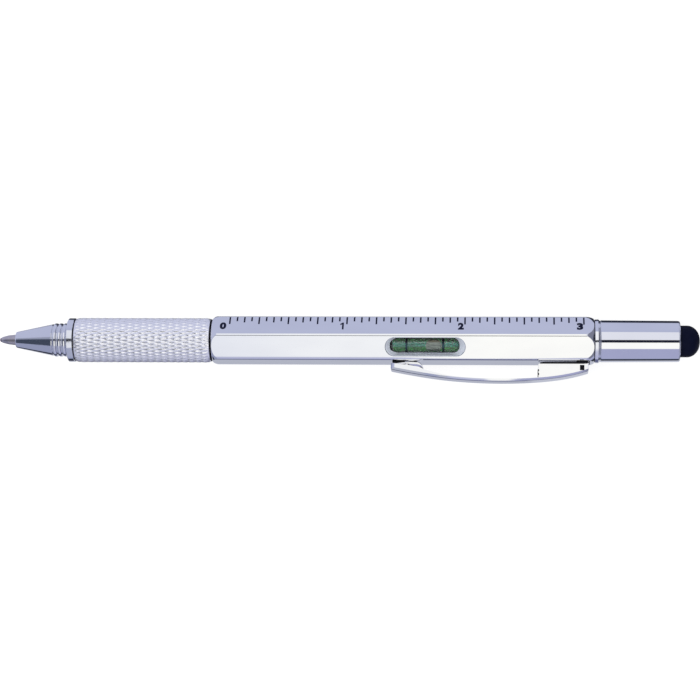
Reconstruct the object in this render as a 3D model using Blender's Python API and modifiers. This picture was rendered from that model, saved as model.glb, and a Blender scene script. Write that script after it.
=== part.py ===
"""Multi tool pen: a hexagonal ruler barrel with a level, a twist-out refill, a clip and a capped bit.

Sizes are in metres. The pen lies along X on its bottom facet, with its writing tip toward -X and its
stylus toward +X. The level looks up, along +Z. The ruler is on the next facet on the +Y side, and the
clip stands on the next facet on the -Y side. The origin is on the bottom facet, at the barrel's middle.
"""

import math

import bmesh
import bpy
from mathutils import Matrix, Vector

# Running gaps
SHOULDER_GAP = 0.00005
BORE_CLEARANCE = 0.00005
SLOT_CLEARANCE = 0.0001
SEAT_GAP = 0.0003
THREAD_CLEARANCE = 0.0002
CUT_OVERRUN = 0.0005

# Hexagonal barrel
BARREL_LENGTH = 0.08275
BARREL_ACROSS_FLATS = 0.0096
BARREL_EDGE_RADIUS = 0.0010
BARREL_BORE = 0.0074
BARREL_END_DIAMETER = 0.0093
BARREL_END_ROUNDING = 0.0020

# Level window in the top facet
WINDOW_LENGTH = 0.0174
WINDOW_WIDTH = 0.0044
WINDOW_RIM_WIDTH = 0.00015
WINDOW_RIM_DEPTH = 0.0002

# Level vial, its plug, its fluid and its bubble, placed from the window's front end
VIAL_LENGTH = 0.01465
VIAL_DIAMETER = 0.0040
VIAL_BORE = 0.0030
VIAL_HEIGHT = 0.0021
VIAL_START = 0.0014
VIAL_PLUG_LENGTH = 0.0010
FLUID_WALL = 0.0001
FLUID_END_WALL = 0.0003
BUBBLE_LENGTH = 0.0036
BUBBLE_RISE = 0.0001
BUBBLE_START = 0.0087
LINE_LEFT_START = 0.0045
LINE_RIGHT_START = 0.0124
LINE_WIDTH = 0.0003
LINE_THICKNESS = 0.0001

# Level cradle inside the barrel, placed in what the rotor and the bit holder leave free
CRADLE_PLACE_SHARE = 0.2819
CRADLE_END_WALL = 0.0012
CRADLE_FLOOR_HEIGHT = 0.0022
GROOVE_CLEARANCE = 0.00005

# Grip sleeve
GRIP_LENGTH = 0.0298
GRIP_DIAMETER = 0.00966
GRIP_END_CHAMFER = 0.00015
NOSE_SPIGOT_LENGTH = 0.0045
NOSE_SPIGOT_DIAMETER = 0.0072

# Nose cone with three beads and a flange
NOSE_CONE_LENGTH = 0.00813
NOSE_MOUTH_DIAMETER = 0.0031
NOSE_SHOULDER_DIAMETER = 0.0036
NOSE_SHOULDER_SETBACK = 0.0006
NOSE_BACK_DIAMETER = 0.0069
NOSE_BEAD_COUNT = 3
NOSE_BEAD_BAND = 0.0032
NOSE_BEAD_DIAMETER = 0.0073
NOSE_NECK_DIAMETER = 0.0066
NOSE_FLANGE_WIDTH = 0.00175
NOSE_FLANGE_DIAMETER = 0.0096
NOSE_FLANGE_CHAMFER = 0.0002
NOSE_MOUTH_LAND = 0.0030
NOSE_CAVITY_DIAMETER = 0.0044

# Refill
REFILL_LENGTH = 0.0670
REFILL_DIAMETER = 0.00235
REFILL_REACH = 0.0036
REFILL_TIP_LENGTH = 0.0090
REFILL_TIP_TAPER = 0.0034
REFILL_TIP_SPIGOT = 0.0020
REFILL_TUBE_BORE = 0.0017
TIP_RIM_DIAMETER = 0.00108
TIP_SOCKET_DEPTH = 0.0006
TIP_INK_HOLE = 0.0005
BALL_DIAMETER = 0.0010
BALL_PROUD = 0.00045
INK_LENGTH = 0.0420

# Twist mechanism
REFILL_TRAVEL = 0.0055
TWIST_ANGLE = math.radians(180)
BUSH_FLANGE_THICKNESS = 0.00026
BUSH_LENGTH = 0.0057
ROTOR_DIAMETER = 0.0062
ROTOR_BORE = 0.0052
ROTOR_END_MARGIN = 0.0040
ROTOR_SEAT_LENGTH = 0.0160
RING_GROOVE_DEPTH = 0.0002
RING_GROOVE_WIDTH = 0.0007
RING_GAP_ANGLE = math.radians(50)
CARRIER_LENGTH = 0.0100
CARRIER_SEAT_DEPTH = 0.0051
PIN_DIAMETER = 0.0012
PIN_SETBACK = 0.0025
CAM_END_MARGIN = 0.0024

# Bit holder and bit
HOLDER_LENGTH_IN_BARREL = 0.0150
HOLDER_SPIGOT_LENGTH = 0.0038
HOLDER_SPIGOT_DIAMETER = 0.0066
BIT_ACROSS_FLATS = 0.0040
BIT_LENGTH = 0.0236
BIT_TIP_LENGTH = 0.0042
BIT_SHAFT_DIAMETER = 0.0032
BIT_POINT_DIAMETER = 0.0011
BIT_FLUTE_WIDTH = 0.0007
BIT_FLUTE_COUNT = 4
BIT_BLADE_THICKNESS = 0.0006
BIT_BLADE_LENGTH = 0.0026
SOCKET_DEPTH = 0.0143
SOCKET_CLEARANCE = 0.00005

# Collar, cap and its seal
COLLAR_LENGTH = 0.0009
COLLAR_DIAMETER = 0.0094
COLLAR_CHAMFER = 0.0004
CAP_GAP = 0.00025
CAP_LENGTH = 0.0170
CAP_FRONT_DIAMETER = 0.0090
CAP_REAR_DIAMETER = 0.0088
CAP_CHAMFER = 0.0003
SEAL_SETBACK = 0.0006
SEAL_WIDTH = 0.0010
SEAL_GROOVE_DEPTH = 0.0003
SEAL_BEVEL_SHARE = 0.33

# Stylus
STYLUS_REACH = 0.00425
STYLUS_DOME_LENGTH = 0.0026
STYLUS_SKIRT_LENGTH = 0.0021
STYLUS_WALL = 0.0011
STYLUS_HOLDER_THICKNESS = 0.0022
STYLUS_BOSS_LENGTH = 0.0026

# Pocket clip, measured from the pen's axis outward
CLIP_LENGTH = 0.0424
CLIP_REAR_INSET = 0.001375
CLIP_WIDTH = 0.0035
CLIP_THICKNESS = 0.00055
CLIP_CREST_HEIGHT = 0.00923
CLIP_CREST_FROM_TIP = 0.0226
CLIP_ARC_RADIUS = 0.0950
CLIP_TIP_RADIUS = 0.0006
CLIP_FOOT_LENGTH = 0.0065
CLIP_FOOT_SLOPE = 0.0020
CLIP_FOOT_GAP = 0.0003
CLIP_BLOCK_LENGTH = 0.0088
CLIP_BLOCK_GAP = 0.00075
CLIP_HOLE_LENGTH = 0.0010
CLIP_LEG_THICKNESS = 0.0009
CLIP_NECK_WIDTH = 0.0024
CLIP_NECK_INSET = 0.0007
CLIP_TOE_LENGTH = 0.0009
CLIP_TOE_THICKNESS = 0.0004
CLIP_TOE_DEPTH = 0.0010
CLIP_FACET_ANGLE = math.radians(60)

# Facets of the round pieces
ROUND_SEGMENTS = 32
SMALL_SEGMENTS = 16
ARC_STEPS = 12
CORNER_STEPS = 3
BEAD_STEPS = 4
MERGE_DISTANCE = 0.000001
SHARP_ANGLE = math.radians(35)

# Sizes that follow from what each piece fits
CAM_DIAMETER = BARREL_BORE - 2 * BORE_CLEARANCE
CAM_BORE = ROTOR_DIAMETER + 2 * SLOT_CLEARANCE
BUSH_FLANGE_DIAMETER = BARREL_END_DIAMETER - 2 * SLOT_CLEARANCE
RING_DIAMETER = BARREL_BORE - SEAT_GAP
CARRIER_DIAMETER = ROTOR_BORE - 2 * SLOT_CLEARANCE
PIN_LENGTH = CAM_DIAMETER - SEAT_GAP
CAP_BORE = HOLDER_SPIGOT_DIAMETER + 2 * THREAD_CLEARANCE
SEAL_GROOVE_DIAMETER = CAP_BORE + 2 * SEAL_GROOVE_DEPTH
STYLUS_DIAMETER = CAP_BORE - 2 * SLOT_CLEARANCE
FLUID_DIAMETER = VIAL_BORE - 2 * BORE_CLEARANCE
FLUID_LENGTH = VIAL_LENGTH - VIAL_PLUG_LENGTH - (VIAL_DIAMETER - VIAL_BORE) - SHOULDER_GAP - SEAT_GAP
BUBBLE_DIAMETER = FLUID_DIAMETER - 2 * (FLUID_WALL + BUBBLE_RISE + BORE_CLEARANCE)

# Places along X and heights worked out from the sizes above
APOTHEM = BARREL_ACROSS_FLATS / 2
BARREL_FRONT = -BARREL_LENGTH / 2
BARREL_REAR = BARREL_LENGTH / 2
GRIP_REAR = BARREL_FRONT - BUSH_FLANGE_THICKNESS - 2 * SHOULDER_GAP
GRIP_FRONT = GRIP_REAR - GRIP_LENGTH
NOSE_REAR = GRIP_FRONT - SHOULDER_GAP
NOSE_FRONT = NOSE_REAR - NOSE_FLANGE_WIDTH - NOSE_BEAD_BAND - NOSE_CONE_LENGTH
REFILL_FRONT = NOSE_FRONT - REFILL_REACH
REFILL_REAR = REFILL_FRONT + REFILL_LENGTH
CARRIER_FRONT = REFILL_REAR - CARRIER_SEAT_DEPTH
PIN_PLACE = REFILL_REAR + PIN_SETBACK
ROTOR_FRONT = GRIP_REAR - ROTOR_SEAT_LENGTH
BUSH_REAR = BARREL_FRONT + BUSH_LENGTH
CAM_FRONT = PIN_PLACE - CAM_END_MARGIN
CAM_REAR = PIN_PLACE + REFILL_TRAVEL + CAM_END_MARGIN
ROTOR_REAR = PIN_PLACE + REFILL_TRAVEL + ROTOR_END_MARGIN
HOLDER_FRONT = BARREL_REAR - HOLDER_LENGTH_IN_BARREL
CRADLE_LENGTH = WINDOW_LENGTH + 2 * CRADLE_END_WALL
CRADLE_FRONT = ROTOR_REAR + (HOLDER_FRONT - ROTOR_REAR - CRADLE_LENGTH) * CRADLE_PLACE_SHARE
CRADLE_REAR = CRADLE_FRONT + CRADLE_LENGTH
WINDOW_FRONT = CRADLE_FRONT + CRADLE_END_WALL
WINDOW_REAR = CRADLE_REAR - CRADLE_END_WALL
VIAL_FRONT = WINDOW_FRONT + VIAL_START
HOLDER_REAR = BARREL_REAR + HOLDER_SPIGOT_LENGTH
SOCKET_FLOOR = HOLDER_REAR - SOCKET_DEPTH
COLLAR_FRONT = BARREL_REAR + SHOULDER_GAP
COLLAR_REAR = COLLAR_FRONT + COLLAR_LENGTH
CAP_FRONT = COLLAR_REAR + CAP_GAP
CAP_REAR = CAP_FRONT + CAP_LENGTH
STYLUS_END = CAP_REAR + STYLUS_REACH
STYLUS_FRONT = CAP_REAR - STYLUS_SKIRT_LENGTH
CLIP_REAR = BARREL_REAR - CLIP_REAR_INSET
CLIP_FRONT = CLIP_REAR - CLIP_LENGTH
CLIP_LEG_FRONT = CLIP_REAR - CLIP_LEG_THICKNESS
CLIP_BLOCK_REAR = CLIP_LEG_FRONT - CLIP_HOLE_LENGTH
CLIP_BLOCK_FRONT = CLIP_BLOCK_REAR - CLIP_BLOCK_LENGTH

# The pen's own axis lies along X at this height. TURN_TO_X lays a piece made along Z onto it.
AXIS_HEIGHT = Matrix.Translation((0, 0, APOTHEM))
QUARTER_TURN = math.radians(90)
TURN_TO_X = Matrix.Rotation(QUARTER_TURN, 4, "Y")
FULL_TURN = math.radians(360)
HEX_SIDES = 6
HALF_HEX_STEP = math.radians(30)


def clear_scene():
    for old in list(bpy.data.objects):
        bpy.data.objects.remove(old, do_unlink=True)


def new_collection(name):
    made = bpy.data.collections.new(name)
    bpy.context.scene.collection.children.link(made)
    return made


def new_material(name, colour, roughness, metallic, see_through=0.0):
    made = bpy.data.materials.new(name)
    made.use_nodes = True
    shader = made.node_tree.nodes["Principled BSDF"]
    shader.inputs["Base Color"].default_value = (*colour, 1)
    shader.inputs["Roughness"].default_value = roughness
    shader.inputs["Metallic"].default_value = metallic
    shader.inputs["Transmission Weight"].default_value = see_through
    return made


def mesh_object(name, mesh, collection):
    made = bpy.data.objects.new(name, mesh)
    collection.objects.link(made)
    return made


def mesh_from_bmesh(name, shape):
    """Turn a closed bmesh into a mesh with its faces pointing out."""
    bmesh.ops.recalc_face_normals(shape, faces=shape.faces)
    mesh = bpy.data.meshes.new(name)
    shape.to_mesh(mesh)
    shape.free()
    return mesh


def shade_round(mesh):
    mesh.shade_smooth()
    mesh.set_sharp_from_angle(angle=SHARP_ANGLE)


def evaluated_mesh(name, source):
    """Take a source object's shape with its modifiers, and remove the source."""
    depsgraph = bpy.context.evaluated_depsgraph_get()
    mesh = bpy.data.meshes.new_from_object(source.evaluated_get(depsgraph))
    mesh.transform(source.matrix_world)
    mesh.name = name
    bpy.data.objects.remove(source, do_unlink=True)
    return mesh


def turned_mesh(name, outline, closed, segments=ROUND_SEGMENTS):
    """Turn an outline of (place along X, radius) points about the pen's axis.

    The outline runs from the rear forward along the outer side. A closed one comes back along the bore.
    """
    mesh = bpy.data.meshes.new(name)
    points = [(radius, 0, along) for along, radius in outline]
    edges = [(index, index + 1) for index in range(len(points) - 1)]
    if closed:
        edges.append((len(points) - 1, 0))
    mesh.from_pydata(points, edges, [])
    source = mesh_object(name, mesh, bpy.context.scene.collection)
    source.matrix_world = AXIS_HEIGHT @ TURN_TO_X
    screw = source.modifiers.new("Turn", "SCREW")
    screw.axis = "Z"
    screw.angle = FULL_TURN
    screw.steps = segments
    screw.render_steps = segments
    screw.use_merge_vertices = True
    screw.merge_threshold = MERGE_DISTANCE
    bpy.context.view_layer.update()
    turned = evaluated_mesh(name, source)
    shade_round(turned)
    return turned


def solid_outline(rear, front, radius):
    return [(rear, 0), (rear, radius), (front, radius), (front, 0)]


def tube_outline(rear, front, radius, bore_radius):
    return [(rear, radius), (front, radius), (front, bore_radius), (rear, bore_radius)]


def prism_mesh(name, rear, front, across_flats):
    """A hexagonal bar along the pen's axis, with a flat face up and one down."""
    shape = bmesh.new()
    corner_radius = across_flats / 2 / math.cos(HALF_HEX_STEP)
    bmesh.ops.create_cone(
        shape,
        cap_ends=True,
        segments=HEX_SIDES,
        radius1=corner_radius,
        radius2=corner_radius,
        depth=rear - front,
    )
    flat_up = Matrix.Rotation(HALF_HEX_STEP, 4, "X")
    centre = Matrix.Translation(((rear + front) / 2, 0, APOTHEM))
    bmesh.ops.transform(shape, matrix=centre @ flat_up @ TURN_TO_X, verts=shape.verts)
    flat_on_top(shape)
    return mesh_from_bmesh(name, shape)


def flat_on_top(shape):
    """Turn the bar about its axis if a corner is on top instead of a flat."""
    top = max(vert.co.z for vert in shape.verts)
    level = [vert for vert in shape.verts if abs(vert.co.z - top) < MERGE_DISTANCE]
    if len(level) == 2:
        centre = (0, 0, APOTHEM)
        turn = Matrix.Rotation(HALF_HEX_STEP, 3, "X")
        bmesh.ops.rotate(shape, cent=centre, matrix=turn, verts=shape.verts)


def box_mesh(name, low, high, placing=None):
    """A box between two corners, then moved by a matrix."""
    shape = bmesh.new()
    bmesh.ops.create_cube(shape, size=1)
    size = [upper - lower for lower, upper in zip(low, high)]
    middle = [(upper + lower) / 2 for lower, upper in zip(low, high)]
    bmesh.ops.scale(shape, vec=size, verts=shape.verts)
    bmesh.ops.translate(shape, vec=middle, verts=shape.verts)
    if placing is not None:
        bmesh.ops.transform(shape, matrix=placing, verts=shape.verts)
    return mesh_from_bmesh(name, shape)


def cylinder_mesh(name, radius, length, placing, segments=SMALL_SEGMENTS):
    """A cylinder along its own Z, centred and then moved by a matrix."""
    shape = bmesh.new()
    bmesh.ops.create_cone(
        shape,
        cap_ends=True,
        segments=segments,
        radius1=radius,
        radius2=radius,
        depth=length,
        matrix=placing,
    )
    mesh = mesh_from_bmesh(name, shape)
    shade_round(mesh)
    return mesh


def arc_points(centre, radius, start, end, steps):
    """Points on an arc, both ends included."""
    turns = [start + (end - start) * step / steps for step in range(steps + 1)]
    return [(centre[0] + radius * math.cos(turn), centre[1] + radius * math.sin(turn)) for turn in turns]


def capsule_points(front, rear, half_width):
    """The outline of a slot with round ends, as (x, y) points."""
    right = arc_points((rear - half_width, 0), half_width, -QUARTER_TURN, QUARTER_TURN, ARC_STEPS)
    left = arc_points((front + half_width, 0), half_width, QUARTER_TURN, 3 * QUARTER_TURN, ARC_STEPS)
    return right + left


def window_mesh(name, low, high, facet_height):
    """The level window's cutter: a slot that flares at its rim, lofted through three levels."""
    narrow = WINDOW_WIDTH / 2 - WINDOW_RIM_WIDTH
    flare = WINDOW_RIM_WIDTH * (high - facet_height + WINDOW_RIM_DEPTH) / WINDOW_RIM_DEPTH
    levels = [(low, 0), (facet_height - WINDOW_RIM_DEPTH, 0), (high, flare)]
    shape = bmesh.new()
    rings = []
    for height, growth in levels:
        front = WINDOW_FRONT + WINDOW_RIM_WIDTH - growth
        rear = WINDOW_REAR - WINDOW_RIM_WIDTH + growth
        outline = capsule_points(front, rear, narrow + growth)
        rings.append([shape.verts.new((x, y, height)) for x, y in outline])
    for lower, upper in zip(rings, rings[1:]):
        for index in range(len(lower)):
            after = (index + 1) % len(lower)
            shape.faces.new((lower[index], lower[after], upper[after], upper[index]))
    shape.faces.new(rings[0])
    shape.faces.new(rings[-1])
    return mesh_from_bmesh(name, shape)


class Builder:
    """Holds the collections and makes pieces, cutters and cuts."""

    def __init__(self):
        self.pieces = new_collection("multi_tool_pen")
        self.cutters = new_collection("cutters")

    def piece(self, name, mesh, material):
        made = mesh_object(name, mesh, self.pieces)
        made.data.materials.clear()
        made.data.materials.append(material)
        return made

    def cutter(self, mesh):
        made = mesh_object("cut_" + mesh.name, mesh, self.cutters)
        made.hide_render = True
        made.display_type = "WIRE"
        return made

    def combine(self, target, mesh, operation="DIFFERENCE"):
        step = target.modifiers.new(mesh.name, "BOOLEAN")
        step.operation = operation
        step.solver = "EXACT"
        step.object = self.cutter(mesh)
        return target


def make_materials():
    return {
        "chrome": new_material("polished_chrome", (0.80, 0.81, 0.84), 0.08, 1.0),
        "knurl": new_material("knurled_chrome", (0.78, 0.79, 0.84), 0.22, 1.0),
        "steel": new_material("bright_steel", (0.62, 0.62, 0.64), 0.25, 1.0),
        "brass": new_material("ball_carbide", (0.35, 0.33, 0.32), 0.2, 1.0),
        "black": new_material("black_plastic", (0.02, 0.02, 0.03), 0.4, 0.0),
        "grey": new_material("grey_plastic", (0.66, 0.70, 0.74), 0.35, 0.0),
        "clear": new_material("clear_acrylic", (0.85, 0.95, 0.88), 0.03, 0.0, 0.9),
        "fluid": new_material("green_fluid", (0.12, 0.42, 0.16), 0.05, 0.0, 0.6),
        "bubble": new_material("bubble", (0.80, 0.90, 0.80), 0.05, 0.0, 0.8),
        "ink": new_material("black_ink", (0.01, 0.01, 0.015), 0.3, 0.0),
        "rubber": new_material("stylus_rubber", (0.008, 0.010, 0.022), 0.45, 0.0),
        "seal": new_material("seal_rubber", (0.03, 0.03, 0.03), 0.6, 0.0),
        "tool": new_material("tool_steel", (0.45, 0.45, 0.47), 0.3, 1.0),
    }


# Barrel body

def end_envelope():
    """The turned outline that rounds off the barrel's two ends."""
    edge_centre = (APOTHEM - BARREL_EDGE_RADIUS) / math.cos(HALF_HEX_STEP)
    corner_radius = edge_centre + BARREL_EDGE_RADIUS + SHOULDER_GAP
    end_radius = BARREL_END_DIAMETER / 2
    sweep = corner_radius - end_radius
    quarter = arc_points((0, 0), 1, 0, QUARTER_TURN, BEAD_STEPS)
    depth = BARREL_END_ROUNDING
    rear = [(BARREL_REAR - depth * (1 - across), end_radius + sweep * along) for across, along in quarter]
    front = [(-along, radius) for along, radius in reversed(rear)]
    return [(BARREL_REAR, 0)] + rear + front + [(BARREL_FRONT, 0)]


def clip_slot_mesh(name, low, front, rear):
    """A slot in the clip's facet, from a height above the axis outward."""
    half_width = CLIP_WIDTH / 2 + SLOT_CLEARANCE
    bottom = (front, -half_width, low)
    top = (rear, half_width, APOTHEM + CUT_OVERRUN)
    return box_mesh(name, bottom, top, clip_placing())


def make_hex_barrel(build, materials):
    rear = BARREL_REAR + CUT_OVERRUN
    front = BARREL_FRONT - CUT_OVERRUN
    mesh = prism_mesh("hex_barrel", rear, front, BARREL_ACROSS_FLATS)
    round_long_edges(mesh)
    barrel = build.piece("hex_barrel", mesh, materials["chrome"])
    build.combine(barrel, turned_mesh("barrel_ends", end_envelope(), closed=False), "INTERSECT")
    window = window_mesh("level_window", APOTHEM, BARREL_ACROSS_FLATS + CUT_OVERRUN, BARREL_ACROSS_FLATS)
    build.combine(barrel, window)
    slot_front = CLIP_LEG_FRONT - SEAT_GAP
    slot_rear = CLIP_REAR + SEAT_GAP
    build.combine(barrel, clip_slot_mesh("clip_slot", APOTHEM / 2, slot_front, slot_rear))
    bore = solid_outline(BARREL_REAR + CUT_OVERRUN, BARREL_FRONT - CUT_OVERRUN, BARREL_BORE / 2)
    build.combine(barrel, turned_mesh("barrel_bore", bore, closed=False))
    return barrel


def round_long_edges(mesh):
    """Round the six edges that run along the bar."""
    shape = bmesh.new()
    shape.from_mesh(mesh)
    half = BARREL_LENGTH / 2
    along = [edge for edge in shape.edges if abs(edge.verts[0].co.x - edge.verts[1].co.x) > half]
    side_step = 2 * HALF_HEX_STEP
    setback = BARREL_EDGE_RADIUS * math.tan(side_step / 2)
    bmesh.ops.bevel(
        shape,
        geom=along,
        offset=setback,
        offset_type="OFFSET",
        segments=CORNER_STEPS,
        profile=0.5,
        affect="EDGES",
    )
    bmesh.ops.recalc_face_normals(shape, faces=shape.faces)
    shape.to_mesh(mesh)
    shape.free()


def make_front_bush(build, materials):
    flange_front = BARREL_FRONT - SHOULDER_GAP - BUSH_FLANGE_THICKNESS
    flange_rear = BARREL_FRONT - SHOULDER_GAP
    outer = BARREL_BORE / 2 - BORE_CLEARANCE
    inner = ROTOR_DIAMETER / 2 + BORE_CLEARANCE
    flange = BUSH_FLANGE_DIAMETER / 2
    outline = [
        (BUSH_REAR, outer),
        (flange_rear, outer),
        (flange_rear, flange),
        (flange_front, flange),
        (flange_front, inner),
        (BUSH_REAR, inner),
    ]
    return build.piece("front_bush", turned_mesh("front_bush", outline, closed=True), materials["black"])


def slot_sweep_angle():
    """How far the drive pin's slot runs past the pin's centre, as an angle at the cam's bore."""
    return (PIN_DIAMETER / 2 + SLOT_CLEARANCE) / (CAM_BORE / 2)


def helix_cutter(name, start_angle):
    """A helical slot, cut by a radial blade that turns about the axis as it moves along it."""
    mean_radius = (CAM_BORE + CAM_DIAMETER) / 4
    lead_angle = math.atan(REFILL_TRAVEL / (TWIST_ANGLE * mean_radius))
    half_width = (PIN_DIAMETER / 2 + SLOT_CLEARANCE) / math.cos(lead_angle)
    inner = ROTOR_BORE / 2
    outer = CAM_DIAMETER / 2 + CUT_OVERRUN
    extra = slot_sweep_angle()
    start = PIN_PLACE - REFILL_TRAVEL * extra / TWIST_ANGLE
    shape = bmesh.new()
    corners = [(-half_width, inner), (half_width, inner), (half_width, outer), (-half_width, outer)]
    blade = shape.faces.new([shape.verts.new((start + along, radius, 0)) for along, radius in corners])
    turn_back = Matrix.Rotation(start_angle - extra, 3, "X")
    bmesh.ops.rotate(shape, cent=(0, 0, 0), matrix=turn_back, verts=shape.verts)
    sweep = TWIST_ANGLE + 2 * extra
    steps = ROUND_SEGMENTS // 2
    advance = REFILL_TRAVEL * sweep / TWIST_ANGLE / steps
    geometry = list(blade.verts) + list(blade.edges) + [blade]
    centre = (0, 0, 0)
    along = (advance, 0, 0)
    bmesh.ops.spin(
        shape, geom=geometry, cent=centre, axis=(1, 0, 0), dvec=along, angle=sweep, steps=steps
    )
    bmesh.ops.transform(shape, matrix=AXIS_HEIGHT, verts=shape.verts)
    return mesh_from_bmesh(name, shape)


def make_cam_sleeve(build, materials):
    outline = tube_outline(CAM_REAR, CAM_FRONT, CAM_DIAMETER / 2, CAM_BORE / 2)
    cam = build.piece("cam_sleeve", turned_mesh("cam_sleeve", outline, closed=True), materials["black"])
    build.combine(cam, helix_cutter("cam_slot_a", 0))
    build.combine(cam, helix_cutter("cam_slot_b", 2 * QUARTER_TURN))
    return cam


def vial_placing(along):
    """Matrix that centres a piece made along Z on the vial's axis."""
    return Matrix.Translation((along, 0, APOTHEM + VIAL_HEIGHT)) @ TURN_TO_X


def raised(mesh, height):
    """Lift a mesh turned about the pen's axis onto the vial's axis."""
    mesh.transform(Matrix.Translation((0, 0, height)))
    return mesh


def make_level_cradle(build, materials):
    radius = BARREL_BORE / 2 - BORE_CLEARANCE
    mesh = turned_mesh("level_cradle", solid_outline(CRADLE_REAR, CRADLE_FRONT, radius), closed=False)
    cradle = build.piece("level_cradle", mesh, materials["grey"])
    floor = (WINDOW_FRONT, -BARREL_BORE, APOTHEM + CRADLE_FLOOR_HEIGHT)
    roof = (WINDOW_REAR, BARREL_BORE, BARREL_ACROSS_FLATS)
    build.combine(cradle, box_mesh("cradle_pocket", floor, roof))
    groove_radius = VIAL_DIAMETER / 2 + LINE_THICKNESS + 2 * GROOVE_CLEARANCE
    middle = (WINDOW_FRONT + WINDOW_REAR) / 2
    placing = vial_placing(middle)
    groove = cylinder_mesh("vial_groove", groove_radius, WINDOW_LENGTH, placing, ROUND_SEGMENTS)
    build.combine(cradle, groove)
    return cradle


def dome_outline(rear, radius, depth, steps):
    """Points of a domed rear end, from the axis outward."""
    quarter = arc_points((0, 0), 1, 0, QUARTER_TURN, steps)
    return [(rear - depth * (1 - across), radius * along) for across, along in quarter]


def make_vial_tube(build, materials):
    rear = VIAL_FRONT + VIAL_LENGTH
    radius = VIAL_DIAMETER / 2
    bore = VIAL_BORE / 2
    wall = radius - bore
    outside = dome_outline(rear, radius, 2 * wall, ARC_STEPS // 2)
    inside = dome_outline(rear - wall, bore, wall, ARC_STEPS // 2)
    outline = outside + [(VIAL_FRONT, radius), (VIAL_FRONT, bore)] + inside[::-1]
    mesh = turned_mesh("vial_tube", outline, closed=False, segments=SMALL_SEGMENTS)
    return build.piece("vial_tube", raised(mesh, VIAL_HEIGHT), materials["clear"])


def make_vial_plug(build, materials):
    rear = VIAL_FRONT + VIAL_PLUG_LENGTH
    radius = VIAL_BORE / 2 - BORE_CLEARANCE
    outline = solid_outline(rear, VIAL_FRONT, radius)
    mesh = turned_mesh("vial_plug", outline, closed=False, segments=SMALL_SEGMENTS)
    return build.piece("vial_plug", raised(mesh, VIAL_HEIGHT), materials["clear"])


def fluid_front():
    return VIAL_FRONT + VIAL_PLUG_LENGTH + SHOULDER_GAP


def make_vial_fluid(build, materials):
    """The fluid has a channel for the bubble, open at the plug's end."""
    front = fluid_front()
    rear = front + FLUID_LENGTH
    radius = FLUID_DIAMETER / 2
    outline = solid_outline(rear, front, radius)
    mesh = turned_mesh("vial_fluid", outline, closed=False, segments=SMALL_SEGMENTS)
    fluid = build.piece("vial_fluid", raised(mesh, VIAL_HEIGHT), materials["fluid"])
    channel_radius = radius - FLUID_WALL
    channel_rear = rear - FLUID_END_WALL
    channel = solid_outline(channel_rear, front - CUT_OVERRUN, channel_radius)
    cut = turned_mesh("bubble_channel", channel, closed=False, segments=SMALL_SEGMENTS)
    build.combine(fluid, raised(cut, VIAL_HEIGHT))
    return fluid


def make_level_bubble(build, materials):
    front = WINDOW_FRONT + BUBBLE_START
    rear = front + BUBBLE_LENGTH
    radius = BUBBLE_DIAMETER / 2
    round_end = dome_outline(rear, radius, radius, ARC_STEPS // 2)
    front_end = [(front + rear - along, out) for along, out in round_end[::-1]]
    mesh = turned_mesh("level_bubble", round_end + front_end, closed=False, segments=SMALL_SEGMENTS)
    return build.piece("level_bubble", raised(mesh, VIAL_HEIGHT + BUBBLE_RISE), materials["bubble"])


def make_vial_line(build, materials, name, start):
    front = WINDOW_FRONT + start
    inner = VIAL_DIAMETER / 2 + GROOVE_CLEARANCE
    outline = tube_outline(front + LINE_WIDTH, front, inner + LINE_THICKNESS, inner)
    mesh = turned_mesh(name, outline, closed=True, segments=SMALL_SEGMENTS)
    return build.piece(name, raised(mesh, VIAL_HEIGHT), materials["black"])


def make_bit_holder(build, materials):
    body_radius = BARREL_BORE / 2 - BORE_CLEARANCE
    spigot_radius = HOLDER_SPIGOT_DIAMETER / 2
    outline = [
        (HOLDER_REAR, 0),
        (HOLDER_REAR, spigot_radius),
        (BARREL_REAR, spigot_radius),
        (BARREL_REAR, body_radius),
        (HOLDER_FRONT, body_radius),
        (HOLDER_FRONT, 0),
    ]
    mesh = turned_mesh("bit_holder", outline, closed=False)
    holder = build.piece("bit_holder", mesh, materials["steel"])
    socket_size = BIT_ACROSS_FLATS + 2 * SOCKET_CLEARANCE
    build.combine(holder, prism_mesh("bit_socket", HOLDER_REAR + CUT_OVERRUN, SOCKET_FLOOR, socket_size))
    pocket_floor = clip_toe_bottom() - SEAT_GAP
    pocket_front = CLIP_LEG_FRONT - CLIP_TOE_LENGTH - SEAT_GAP
    build.combine(holder, clip_slot_mesh("toe_pocket", pocket_floor, pocket_front, CLIP_REAR + SEAT_GAP))
    return holder


def make_collar_ring(build, materials):
    outer = COLLAR_DIAMETER / 2
    inner = HOLDER_SPIGOT_DIAMETER / 2 + BORE_CLEARANCE
    outline = [
        (COLLAR_REAR, outer - COLLAR_CHAMFER),
        (COLLAR_REAR - COLLAR_CHAMFER, outer),
        (COLLAR_FRONT, outer),
        (COLLAR_FRONT, inner),
        (COLLAR_REAR, inner),
    ]
    mesh = turned_mesh("collar_ring", outline, closed=True)
    return build.piece("collar_ring", mesh, materials["chrome"])


# Grip body

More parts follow.
